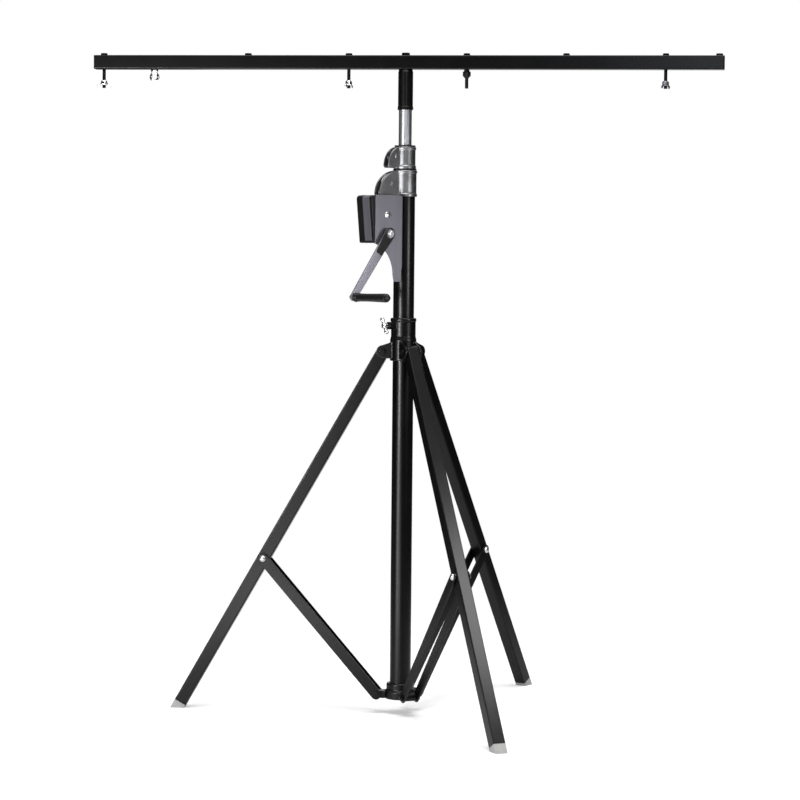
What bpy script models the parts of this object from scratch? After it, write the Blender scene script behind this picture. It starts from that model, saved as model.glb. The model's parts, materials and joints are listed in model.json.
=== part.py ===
# Crank light stand: a three-stage telescopic mast on a folding tripod, raised by a geared
# hand winch, with a drilled T-bar on top. Metres, +Z up, origin on the floor under the mast.
# The T-bar lies along X. The winch looks down its own axis, 45 degrees forward of -X.
import math

import bmesh
import bpy
from mathutils import Matrix, Vector

MM = 0.001
GAP = 0.3 * MM              # clearance kept between pieces that touch
TINY = 0.01 * MM            # merge distance, far below any real edge

# Mast
OUTER_R, OUTER_BORE = 25.0 * MM, 23.6 * MM
MIDDLE_R, MIDDLE_BORE = 19.75 * MM, 18.35 * MM
INNER_R, INNER_BORE = 15.5 * MM, 14.0 * MM
OUTER_BOTTOM, OUTER_TOP = 42.3 * MM, 1244.0 * MM
MIDDLE_BOTTOM, MIDDLE_TOP = 66.0 * MM, 1318.5 * MM
INNER_BOTTOM, INNER_TOP = 92.0 * MM, 1524.0 * MM

# T-bar
TBAR_HALF = 750.0 * MM
TBAR_SIDE, TBAR_WALL = 33.0 * MM, 2.0 * MM
TBAR_BOTTOM = 1536.5 * MM
TBAR_TOP = TBAR_BOTTOM + TBAR_SIDE
CAP_THICK, CAP_PLUG = 3.0 * MM, 3.4 * MM
WING_BOLTS = {"outer_left": -728.0 * MM, "inner_left": -136.0 * MM, "inner_right": 145.0 * MM,
              "outer_right": 613.0 * MM}
PLAIN_BOLTS = {"left": -378.0 * MM, "centre": 0.0, "right": 380.0 * MM, "end": 738.0 * MM}
EYE_BOLT_X = -605.0 * MM
BOLT_R = 4.0 * MM
WING_NUT_Z, ROUND_KNOB_Z = 1499.0 * MM, 1517.0 * MM
WING_BOLT_END = 1492.0 * MM
SOCKET_LOW, SOCKET_R = 1441.0 * MM, 17.7 * MM
SOCKET_SCREW_Z = 1462.0 * MM

# Cast collars at the tops of the two lower tubes, and the guide bushes in them
OUTER_COLLAR_LOW, OUTER_COLLAR_HIGH = 1236.0 * MM, 1298.4 * MM
MIDDLE_COLLAR_LOW, MIDDLE_COLLAR_HIGH = 1302.0 * MM, 1354.0 * MM
OUTER_RING_R, MIDDLE_RING_R = 28.0 * MM, 25.0 * MM
OUTER_BRACKET, MIDDLE_BRACKET = (84.0 * MM, 11.0 * MM), (58.0 * MM, 10.0 * MM)
BUSH_FLANGE = 3.0 * MM

# Tripod: leg and strut pivots as radius and height, and the foot's centre on the floor
LEG_AZIMUTHS = {"left": 180.0, "front": -60.0, "back": 60.0}
LEG_PIVOT_R, LEG_PIVOT_Z = 47.5 * MM, 868.0 * MM
FOOT_R, FOOT_Z = 533.0 * MM, 14.0 * MM
HUB_PIVOT_R, HUB_PIVOT_Z = 56.0 * MM, 46.0 * MM
JOINT_FROM_PIVOT = 576.5 * MM
LEG_SIDE, LEG_WALL = 30.0 * MM, 2.0 * MM
STRUT_WIDE, STRUT_THICK = 25.0 * MM, 4.0 * MM
FOOT_PLUG, FOOT_EDGE = 14.0 * MM, 1.5 * MM
COLLAR_LOW, COLLAR_HIGH = 846.0 * MM, 948.0 * MM
COLLAR_BORE = OUTER_R + 0.45 * MM
HANDLE_Z = 930.0 * MM       # the screw that clamps the leg collar to the mast

# Winch, in its own frame: x away from the mast, y towards the operator, z up
WINCH_AZIMUTH = 225.0
PLATE_FROM, PLATE_TO = 27.0 * MM, 110.0 * MM
PLATE_OUT, PLATE_IN = 29.0 * MM, 26.0 * MM
WINCH_LOW, WINCH_HIGH = 1128.0 * MM, 1238.0 * MM
PLATE_BOTTOM, TAIL_LOW = 1125.0 * MM, 1034.0 * MM
TAIL_SWEEP, TAIL_SWEEP_R = (130.0 * MM, 1052.0 * MM), 74.0 * MM
PAD_HEIGHTS = (1136.0 * MM, 1214.0 * MM)
CRANK_X, CRANK_Z = 77.0 * MM, 1147.0 * MM
GEAR_MODULE, PINION_TEETH, WHEEL_TEETH = 1.6 * MM, 11, 44
ADDENDUM, DEDENDUM, BACKLASH = 0.8, 1.2, 0.3 * MM
PRESSURE_ANGLE = math.radians(20.0)
DRUM_X = 74.0 * MM
GEAR_CENTRES = GEAR_MODULE * (PINION_TEETH + WHEEL_TEETH) / 2.0
DRUM_Z = CRANK_Z + math.sqrt(GEAR_CENTRES ** 2 - (CRANK_X - DRUM_X) ** 2)
CRANK_DROP, CRANK_REACH = 149.0 * MM, 106.0 * MM
ROPE_R = 1.4 * MM
DRUM_ROPE_R = 21.7 * MM     # from the drum's axis to the middle of the rope on it
ROPE_PITCH = 3.4 * MM
ROPE_TURNS = 2.5
ROPE_POINTS_A_TURN = 20
PULLEY_R = 24.0 * MM        # from the pulley's axis to the middle of the rope on it
PULLEY_X, PULLEY_Z = 45.85 * MM, 1264.0 * MM
SMALL_PULLEY_R = 16.0 * MM
SMALL_PULLEY_X, SMALL_PULLEY_Z = 33.5 * MM, 1330.0 * MM
PAWL_X, PAWL_Z, PAWL_Y = 48.0 * MM, 1151.0 * MM, -20.5 * MM
RATCHET_TIP, RATCHET_FOOT, RATCHET_TEETH = 15.0 * MM, 12.0 * MM, 12
GEAR_Y = 17.5 * MM          # where the pinion and the drum's wheel meet, between the plates

# Facets round a full turn
ROUND, ROUND_BIG, ROUND_SMALL = 24, 32, 10

FINISHES = {
    "black_powder_coat": ((0.012, 0.012, 0.014), 0.42, 0.0),
    "zinc_plate": ((0.62, 0.62, 0.62), 0.32, 0.9),
    "chrome": ((0.80, 0.80, 0.80), 0.12, 1.0),
    "cast_aluminium": ((0.60, 0.60, 0.61), 0.45, 0.85),
    "grey_steel": ((0.20, 0.20, 0.23), 0.40, 0.75),
    "black_plastic": ((0.018, 0.018, 0.018), 0.55, 0.0),
    "grey_rubber": ((0.30, 0.30, 0.30), 0.85, 0.0),
    "nylon": ((0.70, 0.69, 0.64), 0.50, 0.0),
    "wire": ((0.50, 0.50, 0.50), 0.35, 0.9),
}


def clear_scene():
    for item in list(bpy.data.objects):
        bpy.data.objects.remove(item, do_unlink=True)


def make_finish(name):
    colour, roughness, metallic = FINISHES[name]
    finish = bpy.data.materials.new(name)
    finish.use_nodes = True
    shader = finish.node_tree.nodes["Principled BSDF"]
    shader.inputs["Base Color"].default_value = (*colour, 1.0)
    shader.inputs["Roughness"].default_value = roughness
    shader.inputs["Metallic"].default_value = metallic
    return finish


clear_scene()
STAND = bpy.data.collections.new("crank_light_stand")
CUTTERS = bpy.data.collections.new("cutters")
bpy.context.scene.collection.children.link(STAND)
bpy.context.scene.collection.children.link(CUTTERS)
MATERIALS = {name: make_finish(name) for name in FINISHES}


# Placing

def make_axis(name, azimuth=0.0, at=(0.0, 0.0, 0.0), tilt=0.0, parent=None):
    """An empty on a joint's axis; azimuth turns it about Z, tilt then leans it about its own Y."""
    empty = bpy.data.objects.new(name, None)
    empty.empty_display_size = 20 * MM
    empty.rotation_euler = (0.0, math.radians(tilt), math.radians(azimuth))
    empty.location = at
    empty.parent = parent
    STAND.objects.link(empty)
    return empty


def around(azimuth, radius, height, side=0.0):
    """The world point at a radius on an azimuth, moved sideways and up."""
    a = math.radians(azimuth)
    return (radius * math.cos(a) - side * math.sin(a), radius * math.sin(a) + side * math.cos(a), height)


def keep(piece, name, finish, parent):
    """Turns a finished shape into the named sub-part on its axis."""
    piece.name = name
    piece.data.name = name
    piece.data.materials.clear()
    piece.data.materials.append(MATERIALS[finish])
    piece.parent = parent
    piece.hide_render = False
    piece.display_type = "TEXTURED"
    STAND.objects.link(piece)
    CUTTERS.objects.unlink(piece)
    piece.data.shade_smooth()
    piece.data.set_sharp_from_angle(angle=math.radians(32.0))
    return piece


# Shapes: each returns a plain mesh object in the frame of the piece's own axis

def from_bmesh(shape):
    mesh = bpy.data.meshes.new("shape")
    shape.to_mesh(mesh)
    shape.free()
    item = bpy.data.objects.new("shape", mesh)
    item.hide_render = True
    item.display_type = "WIRE"
    CUTTERS.objects.link(item)
    return item


def freeze(item):
    """Applies the item's modifiers or curve settings and returns the welded mesh object."""
    bpy.context.view_layer.update()
    evaluated = item.evaluated_get(bpy.context.evaluated_depsgraph_get())
    mesh = bpy.data.meshes.new_from_object(evaluated)
    mesh.transform(item.matrix_world)
    shape = bmesh.new()
    shape.from_mesh(mesh)
    bmesh.ops.remove_doubles(shape, verts=shape.verts, dist=TINY)
    bpy.data.meshes.remove(mesh)
    bpy.data.objects.remove(item, do_unlink=True)
    return from_bmesh(shape)


def turned(profile, steps=ROUND, along="Z", at=(0.0, 0.0, 0.0)):
    """A profile of (radius, height) points, down its outer side from the top, turned about an axis."""
    shape = bmesh.new()
    points = [shape.verts.new((radius, 0.0, height)) for radius, height in profile]
    for first, second in zip(points, points[1:]):
        shape.edges.new((first, second))
    if profile[0][0] > 0.0:
        shape.edges.new((points[-1], points[0]))
    item = from_bmesh(shape)
    screw = item.modifiers.new("turn", "SCREW")
    screw.axis = "Z"
    screw.angle = 2.0 * math.pi
    screw.steps = steps
    screw.render_steps = steps
    screw.use_merge_vertices = True
    screw.merge_threshold = TINY
    turns = {"Z": Matrix(), "X": Matrix.Rotation(math.radians(90), 4, "Y"),
             "Y": Matrix.Rotation(math.radians(-90), 4, "X")}
    item.matrix_world = Matrix.Translation(at) @ turns[along]
    return freeze(item)


def rod(radius, start, end, along="Z", at=(0.0, 0.0, 0.0), steps=ROUND_SMALL, chamfer=0.0):
    """A round bar from start to end along an axis, with chamfered ends."""
    c = chamfer
    profile = [(0.0, end), (radius - c, end), (radius, end - c), (radius, start + c),
               (radius - c, start), (0.0, start)]
    if not c:
        profile = [(0.0, end), (radius, end), (radius, start), (0.0, start)]
    return turned(profile, steps, along, at)


def hexagon(radius, start, end, along="Z", at=(0.0, 0.0, 0.0), chamfer=0.6 * MM):
    """A hexagonal head or nut, chamfered at its end face."""
    profile = [(0.0, end), (radius - chamfer, end), (radius, end - chamfer), (radius, start), (0.0, start)]
    return turned(profile, 6, along, at)


def tube_profile(outer, inner, low, high):
    return [(outer, high), (outer, low), (inner, low), (inner, high)]


def box(low, high, bevel=0.0, segments=2):
    shape = bmesh.new()
    bmesh.ops.create_cube(shape, size=1.0)
    size = [b - a for a, b in zip(low, high)]
    middle = [(a + b) / 2.0 for a, b in zip(low, high)]
    bmesh.ops.transform(shape, matrix=Matrix.Translation(middle) @ Matrix.Diagonal((*size, 1.0)),
                        verts=shape.verts)
    if bevel:
        bmesh.ops.bevel(shape, geom=list(shape.edges), offset=bevel, segments=segments, profile=0.5,
                        affect="EDGES")
    return from_bmesh(shape)


def arc(centre, radius, start, end, steps):
    """Points of an arc in a flat outline, from one angle to another in degrees."""
    points = []
    for i in range(steps + 1):
        a = math.radians(start + (end - start) * i / steps)
        points.append((centre[0] + radius * math.cos(a), centre[1] + radius * math.sin(a)))
    return points


def flat(outlines, thickness, plane="XZ", at=(0.0, 0.0, 0.0)):
    """Closed outlines, the first the edge and the rest holes, made a plate centred on its plane."""
    curve = bpy.data.curves.new("outline", "CURVE")
    curve.dimensions = "2D"
    curve.fill_mode = "BOTH"
    curve.extrude = thickness / 2.0
    for outline in outlines:
        spline = curve.splines.new("POLY")
        spline.points.add(len(outline) - 1)
        for point, (u, v) in zip(spline.points, outline):
            point.co = (u, v, 0.0, 1.0)
        spline.use_cyclic_u = True
    item = bpy.data.objects.new("outline", curve)
    CUTTERS.objects.link(item)
    turns = {"XY": Matrix(), "XZ": Matrix.Rotation(math.radians(90), 4, "X"),
             "YZ": Matrix.Rotation(math.radians(90), 4, "Z") @ Matrix.Rotation(math.radians(90), 4, "X")}
    item.matrix_world = Matrix.Translation(at) @ turns[plane]
    return freeze(item)


def circle(centre, radius, steps=ROUND_SMALL):
    return arc(centre, radius, 0.0, 360.0, steps)[:-1]


def combine(body, tools, operation):
    """Boolean of a body with tools, applied, so that the pieces stay plain closed meshes."""
    for tool in tools:
        cut = body.modifiers.new("cut", "BOOLEAN")
        cut.operation = operation
        cut.solver = "EXACT"
        cut.object = tool
    result = freeze(body)
    for tool in tools:
        bpy.data.objects.remove(tool, do_unlink=True)
    return result


def join(body, *tools):
    return combine(body, tools, "UNION")


def cut(body, *tools):
    return combine(body, tools, "DIFFERENCE")


# Joint axes of the moving bodies

root = make_axis("mast_axis")
winch = make_axis("winch_axis", WINCH_AZIMUTH)
drum_axis = make_axis("drum_axis", at=(DRUM_X, 0.0, DRUM_Z), parent=winch)
crank_axis = make_axis("crank_axis", at=(CRANK_X, 0.0, CRANK_Z), parent=winch)
grip_axis = make_axis("grip_axis", at=(CRANK_REACH, 0.0, -CRANK_DROP), parent=crank_axis)
pulley_axis = make_axis("pulley_axis", at=(PULLEY_X, 0.0, PULLEY_Z), parent=winch)
middle_axis = make_axis("middle_stage_axis")
small_pulley_axis = make_axis("small_pulley_axis", WINCH_AZIMUTH, parent=middle_axis,
                              at=around(WINCH_AZIMUTH, SMALL_PULLEY_X, SMALL_PULLEY_Z))
inner_axis = make_axis("inner_stage_axis", parent=middle_axis)
tbar_axis = make_axis("tbar_axis", parent=inner_axis)
collar_axis = make_axis("leg_collar_axis")


# Mast

def make_mast():
    outer = turned(tube_profile(OUTER_R, OUTER_BORE, OUTER_BOTTOM, OUTER_TOP), ROUND_BIG)
    keep(outer, "mast_outer_tube", "black_powder_coat", root)
    middle = turned(tube_profile(MIDDLE_R, MIDDLE_BORE, MIDDLE_BOTTOM, MIDDLE_TOP), ROUND_BIG)
    keep(middle, "mast_middle_tube", "zinc_plate", middle_axis)
    inner = turned(tube_profile(INNER_R, INNER_BORE, INNER_BOTTOM, INNER_TOP))
    keep(inner, "mast_inner_tube", "zinc_plate", inner_axis)


def rope_way(start, reach, low, high):
    """The channel down the winch side that a rope and its pulley run in."""
    half = 6.6 * MM
    way = box((start, -half, low), (reach, half, high))
    way.data.transform(Matrix.Rotation(math.radians(WINCH_AZIMUTH), 4, "Z"))
    return way


def make_middle_glide():
    """A nylon ring at the foot of the middle stage, notched for the rope."""
    low, high = MIDDLE_BOTTOM + 2 * MM, MIDDLE_BOTTOM + 32 * MM
    ring = turned(tube_profile(OUTER_BORE - 0.45 * MM, MIDDLE_R + GAP, low, high))
    notch = box((MIDDLE_R - 2 * MM, -3 * MM, low - MM), (OUTER_BORE + MM, 3 * MM, high + MM))
    notch.data.transform(Matrix.Rotation(math.radians(WINCH_AZIMUTH), 4, "Z"))
    keep(cut(ring, notch), "middle_stage_glide", "nylon", middle_axis)


def cheek_outline(reach, low, high, start_x):
    """A pulley bracket seen from its side: flat below, a quarter of an ellipse above."""
    centre_x, centre_z = start_x + 8 * MM, low + 4 * MM
    quarter = arc((0.0, 0.0), 1.0, 0.0, 90.0, 7)
    curve = [(centre_x + (reach - centre_x) * u, centre_z + (high - centre_z) * v) for u, v in quarter]
    return [(start_x, low), (reach - 3 * MM, low)] + curve + [(start_x, high)]


def make_collar(name, parent, low, high, seat_bore, seat_top, neck_bore, ring_r, reach, cheeks,
                pulley_x, pulley_z):
    """A cast ring clamped on a tube's top, with a two-cheeked pulley bracket on the winch side."""
    rim = 1.6 * MM
    profile = [(ring_r, high), (ring_r + rim, high - 1.5 * MM), (ring_r + rim, high - 6 * MM),
               (ring_r, high - 8 * MM), (ring_r, low + 8 * MM), (ring_r + rim, low + 6 * MM),
               (ring_r + rim, low), (12 * MM, low), (12 * MM, high)]
    ring = turned(profile)
    bracket = flat([cheek_outline(reach, low + MM, high - MM, 14 * MM)], 2 * cheeks)
    bracket.data.transform(Matrix.Rotation(math.radians(WINCH_AZIMUTH), 4, "Z"))
    body = join(ring, bracket)
    bore = turned([(0.0, high + MM), (neck_bore, high + MM), (neck_bore, seat_top),
                   (seat_bore, seat_top), (seat_bore, low - MM), (0.0, low - MM)])
    body = cut(body, bore)
    way = rope_way(neck_bore - 5 * MM, reach + MM, low - MM, high + MM)
    body = cut(body, way)
    pin = rod(BOLT_R, -cheeks - 2 * MM, cheeks + 2 * MM, "Y", (pulley_x, 0.0, pulley_z), chamfer=0.8 * MM)
    pin.data.transform(Matrix.Rotation(math.radians(WINCH_AZIMUTH), 4, "Z"))
    keep(join(body, pin), name, "cast_aluminium", parent)


def make_bush(name, parent, outer, inner, low, collar_top, flange_r):
    """A black liner whose flange lies on its collar, split on the winch side for the pulley."""
    high = collar_top + GAP + BUSH_FLANGE
    ring = turned([(flange_r - MM, high), (flange_r, high - MM), (flange_r, high - BUSH_FLANGE),
                   (outer, high - BUSH_FLANGE), (outer, low), (inner, low), (inner, high)])
    way = rope_way(inner - 3 * MM, flange_r + 5 * MM, low - MM, high + MM)
    keep(cut(ring, way), name, "black_plastic", parent)


def make_collars():
    reach, cheeks = OUTER_BRACKET
    make_collar("outer_tube_collar", root, OUTER_COLLAR_LOW, OUTER_COLLAR_HIGH, OUTER_R + GAP,
                OUTER_TOP + GAP, OUTER_BORE + 0.2 * MM, OUTER_RING_R, reach, cheeks, PULLEY_X, PULLEY_Z)
    make_bush("outer_guide_bush", root, OUTER_BORE - 0.1 * MM, MIDDLE_R + GAP,
              OUTER_COLLAR_LOW + 26 * MM, OUTER_COLLAR_HIGH, OUTER_RING_R)
    reach, cheeks = MIDDLE_BRACKET
    make_collar("middle_tube_collar", middle_axis, MIDDLE_COLLAR_LOW, MIDDLE_COLLAR_HIGH,
                MIDDLE_R + GAP, MIDDLE_TOP + GAP, MIDDLE_BORE + 0.6 * MM, MIDDLE_RING_R, reach, cheeks,
                SMALL_PULLEY_X, SMALL_PULLEY_Z)
    make_bush("middle_guide_bush", middle_axis, MIDDLE_BORE + 0.3 * MM, INNER_R + GAP,
              MIDDLE_COLLAR_LOW + 20 * MM, MIDDLE_COLLAR_HIGH, MIDDLE_RING_R)


def pulley_profile(rope_at, half_width):
    """Half of a grooved wheel's section, closed at its bore."""
    flange, groove, land = rope_at + 1.2 * MM, rope_at - ROPE_R - GAP, ROPE_R + 0.5 * MM
    rim, web, hub, bore = rope_at * 0.78, half_width - 1.5 * MM, 8.5 * MM, 4.4 * MM
    return [(flange, half_width), (flange, half_width - MM), (groove + MM, land), (groove, 0.0),
            (groove + MM, -land), (flange, -half_width + MM), (flange, -half_width), (rim, -half_width),
            (rim - MM, -web), (hub, -web), (hub, -half_width), (bore, -half_width), (bore, half_width),
            (hub, half_width), (hub, web), (rim - MM, web), (rim, half_width)]


def make_pulleys():
    wheel = turned(pulley_profile(PULLEY_R, 5 * MM), 24, "Y")
    keep(wheel, "outer_tube_pulley", "black_plastic", pulley_axis)
    small = turned(pulley_profile(SMALL_PULLEY_R, 5 * MM), 18, "Y")
    keep(small, "middle_tube_pulley", "black_plastic", small_pulley_axis)


# T-bar

def rounded_square(half, corner, steps=2):
    inset = half - corner
    points = []
    for turn, (x, y) in enumerate(((inset, inset), (-inset, inset), (-inset, -inset), (inset, -inset))):
        points += arc((x, y), corner, 90.0 * turn, 90.0 * turn + 90.0, steps)
    return points


def make_tbar():
    middle_z = TBAR_BOTTOM + TBAR_SIDE / 2.0
    half = TBAR_SIDE / 2.0
    end = TBAR_HALF - CAP_THICK - GAP
    bar = flat([rounded_square(half, 3 * MM), rounded_square(half - TBAR_WALL, 1.5 * MM, 1)],
               2 * end, "YZ", (0.0, 0.0, middle_z))
    holes = []
    for x in list(WING_BOLTS.values()) + [EYE_BOLT_X, PLAIN_BOLTS["centre"]]:
        holes.append(rod(BOLT_R + GAP, TBAR_BOTTOM - 5 * MM, TBAR_TOP + 5 * MM, "Z", (x, 0.0, 0.0), 10))
    for side in ("left", "right", "end"):
        x = PLAIN_BOLTS[side]
        holes.append(rod(BOLT_R + GAP, middle_z, TBAR_TOP + 5 * MM, "Z", (x, 0.0, 0.0), 10))
    keep(cut(bar, *holes), "tbar_tube", "black_powder_coat", tbar_axis)
    for name, side in (("left", -1), ("right", 1)):
        face = flat([rounded_square(half, 3 * MM)], CAP_THICK, "YZ",
                    (side * (TBAR_HALF - CAP_THICK / 2.0), 0.0, middle_z))
        plug_half = half - TBAR_WALL - GAP
        depth = CAP_PLUG + CAP_THICK / 2.0
        plug = flat([rounded_square(plug_half, 2 * MM)], depth, "YZ",
                    (side * (end + GAP + CAP_THICK / 2.0 - depth / 2.0), 0.0, middle_z))
        keep(join(face, plug), "tbar_end_cap_" + name, "black_plastic", tbar_axis)


def make_socket():
    """The black sleeve on the inner tube that carries the T-bar, with its lock screw behind."""
    top = TBAR_BOTTOM - GAP
    bore, rim, floor = INNER_R + 0.35 * MM, SOCKET_R + 0.9 * MM, INNER_TOP + 1.5 * MM
    body = turned([(0.0, top), (16.4 * MM, top), (16.4 * MM, top - 3 * MM), (SOCKET_R, top - 5 * MM),
                   (SOCKET_R, SOCKET_LOW + 9 * MM), (rim, SOCKET_LOW + 7 * MM), (rim, SOCKET_LOW),
                   (0.0, SOCKET_LOW)])
    boss = rod(7 * MM, 14 * MM, 24 * MM, "Y", (0.0, 0.0, SOCKET_SCREW_Z), 14)
    clear = rod(bore, SOCKET_LOW - MM, floor, steps=ROUND)
    body = cut(join(body, boss), clear)
    screw_hole = rod(3.3 * MM, 12 * MM, 30 * MM, "Y", (0.0, 0.0, SOCKET_SCREW_Z), 10)
    bolt_hole = rod(BOLT_R + GAP, floor - 5 * MM, top + 5 * MM)
    keep(cut(body, screw_hole, bolt_hole), "tbar_socket", "black_powder_coat", tbar_axis)
    axis = make_axis("socket_screw_axis", at=(0.0, 0.0, SOCKET_SCREW_Z), parent=tbar_axis)
    shank = rod(3 * MM, INNER_R + GAP, 32 * MM, "Y", steps=10)
    head = turned([(0.0, 42 * MM), (7 * MM, 42 * MM), (9 * MM, 40 * MM), (9 * MM, 33 * MM),
                   (7 * MM, 31 * MM), (5 * MM, 25 * MM), (0.0, 25 * MM)], 10, "Y")
    keep(join(head, shank), "socket_lock_screw", "black_plastic", axis)


def make_tbar_bolts():
    top, head_r, head_high = TBAR_TOP + GAP, 8.2 * MM, 5 * MM
    for name, x in WING_BOLTS.items():
        head = hexagon(head_r, top, top + head_high, "Z", (x, 0.0, 0.0))
        shank = rod(BOLT_R, WING_BOLT_END, top + MM, "Z", (x, 0.0, 0.0), 10)
        keep(join(head, shank), "tbar_bolt_" + name, "black_powder_coat", tbar_axis)
    for name, x in PLAIN_BOLTS.items():
        centre = name == "centre"
        low = 1529 * MM if centre else 1555 * MM
        head = hexagon(head_r + (2 * MM if centre else 0.0), top, top + head_high, "Z", (x, 0.0, 0.0))
        shank = rod(BOLT_R, low, top + MM, "Z", (x, 0.0, 0.0), 10)
        keep(join(head, shank), "tbar_bolt_" + name, "black_powder_coat", tbar_axis)


def make_eye_bolt():
    """A lifting eye under the bar: its shank stands in the bar and its ring hangs below."""
    under = TBAR_BOTTOM - GAP
    shank = rod(BOLT_R, under - 8 * MM, TBAR_TOP + MM, "Z", (EYE_BOLT_X, 0.0, 0.0), 10)
    collar = turned([(0.0, under), (8 * MM, under), (9 * MM, under - MM), (9 * MM, under - 4 * MM),
                     (6 * MM, under - 9 * MM), (0.0, under - 9 * MM)], 14, "Z", (EYE_BOLT_X, 0.0, 0.0))
    ring = bmesh.new()
    sides, around_ring, ring_r, wire_r = 7, 16, 9 * MM, 3 * MM
    bmesh.ops.create_circle(ring, segments=sides, radius=wire_r)
    bmesh.ops.transform(ring, matrix=Matrix.Translation((ring_r, 0.0, 0.0))
                        @ Matrix.Rotation(math.radians(90), 4, "X"), verts=ring.verts)
    bmesh.ops.spin(ring, geom=list(ring.verts) + list(ring.edges), axis=(0, 0, 1), cent=(0, 0, 0),
                   steps=around_ring, angle=2 * math.pi, use_merge=True)
    bmesh.ops.remove_doubles(ring, verts=ring.verts, dist=TINY)
    bmesh.ops.recalc_face_normals(ring, faces=ring.faces)
    loop = from_bmesh(ring)
    loop.data.transform(Matrix.Translation((EYE_BOLT_X, 0.0, under - 18 * MM))
                        @ Matrix.Rotation(math.radians(90), 4, "X"))
    keep(join(collar, shank, loop), "tbar_eye_bolt", "chrome", tbar_axis)


def make_wing_nut(name, x, finish, tilt):
    """A hub with two swept wings, free to turn on its bolt."""
    axis = make_axis(name + "_axis", tilt, (x, 0.0, WING_NUT_Z), parent=tbar_axis)
    hub = turned([(0.0, 11 * MM), (6.5 * MM, 11 * MM), (8 * MM, 8 * MM), (8 * MM, 2 * MM), (7 * MM, 0.0),
                  (0.0, 0.0)], ROUND_SMALL)
    wings = []
    for side in (1, -1):
        outline = [(3 * MM, 9.5 * MM), (3 * MM, 1 * MM), (8 * MM, 0.5 * MM)] \
            + arc((12.5 * MM, -2.5 * MM), 4.5 * MM, -80.0, 100.0, 5)
        outline = [(side * u, v) for u, v in outline]
        wings.append(flat([outline if side > 0 else outline[::-1]], 3 * MM))
    bore = rod(BOLT_R + GAP, -10 * MM, 20 * MM, steps=10)
    keep(cut(join(hub, *wings), bore), name, finish, axis)


def make_nuts():
    make_wing_nut("wing_nut_outer_left", WING_BOLTS["outer_left"], "chrome", 20.0)
    make_wing_nut("wing_nut_inner_left", WING_BOLTS["inner_left"], "chrome", 65.0)
    make_wing_nut("wing_nut_outer_right", WING_BOLTS["outer_right"], "grey_steel", 55.0)
    axis = make_axis("round_knob_axis", 0.0, (WING_BOLTS["inner_right"], 0.0, ROUND_KNOB_Z),
                     parent=tbar_axis)
    lobes, big, small = 10, 9.4 * MM, 8.4 * MM
    edge = []
    for i in range(lobes * 2):
        radius = big if i % 2 else small
        edge.append((radius * math.cos(math.pi * i / lobes), radius * math.sin(math.pi * i / lobes)))
    disc = flat([edge], 12 * MM, "XY", (0.0, 0.0, 9 * MM))
    neck = rod(6.5 * MM, 0.0, 19 * MM)
    bore = rod(BOLT_R + GAP, -10 * MM, 30 * MM, steps=10)
    keep(cut(join(disc, neck), bore), "round_knob_inner_right", "black_plastic", axis)


# Tripod

def leg_tilt():
    """The leg's angle from the vertical, in degrees."""
    return math.degrees(math.atan2(FOOT_R - LEG_PIVOT_R, LEG_PIVOT_Z - FOOT_Z))


def strut_numbers():
    """The strut's length between pivots and its angle from the vertical."""
    tilt = math.radians(leg_tilt())
    across = LEG_PIVOT_R + JOINT_FROM_PIVOT * math.sin(tilt) - HUB_PIVOT_R
    up = LEG_PIVOT_Z - JOINT_FROM_PIVOT * math.cos(tilt) - HUB_PIVOT_Z
    return math.hypot(across, up), math.degrees(math.atan2(across, up))


def make_hub():
    """The casting that closes the mast's foot, with a lug for each pair of struts."""
    low, high, ring_r = 36.0 * MM, 74.0 * MM, 33.0 * MM
    body = turned([(0.0, OUTER_BOTTOM - GAP), (OUTER_R + GAP, OUTER_BOTTOM - GAP), (OUTER_R + GAP, high),
                   (ring_r - 2 * MM, high), (ring_r, high - 3 * MM), (ring_r, 58 * MM),
                   (ring_r + 5 * MM, 54 * MM), (ring_r + 5 * MM, low + 2 * MM), (ring_r + 2 * MM, low),
                   (0.0, low)])
    half_high = 9 * MM
    for azimuth in LEG_AZIMUTHS.values():
        centre = (HUB_PIVOT_R, HUB_PIVOT_Z)
        outline = [(28 * MM, HUB_PIVOT_Z - half_high)] + arc(centre, half_high, -90.0, 90.0, 6) \
            + [(28 * MM, HUB_PIVOT_Z + half_high)]
        lug = flat([outline, circle(centre, BOLT_R + GAP)], LEG_SIDE)
        lug.data.transform(Matrix.Rotation(math.radians(azimuth), 4, "Z"))
        body = join(body, lug)
    keep(body, "lower_hub", "black_powder_coat", root)


def cross_bolt(parent, at, half_grip, name):
    """A bolt through two cheeks: hexagon head on one side, nut on the other."""
    reach = half_grip + GAP
    shank = rod(BOLT_R, -reach - 7 * MM, reach + 2 * MM, "Y", at, 10)
    head = hexagon(7.5 * MM, reach, reach + 5 * MM, "Y", at)
    nut = rod(7.5 * MM, -reach - 5.5 * MM, -reach, "Y", at, 6)
    keep(join(shank, head, nut), name, "black_powder_coat", parent)


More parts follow.
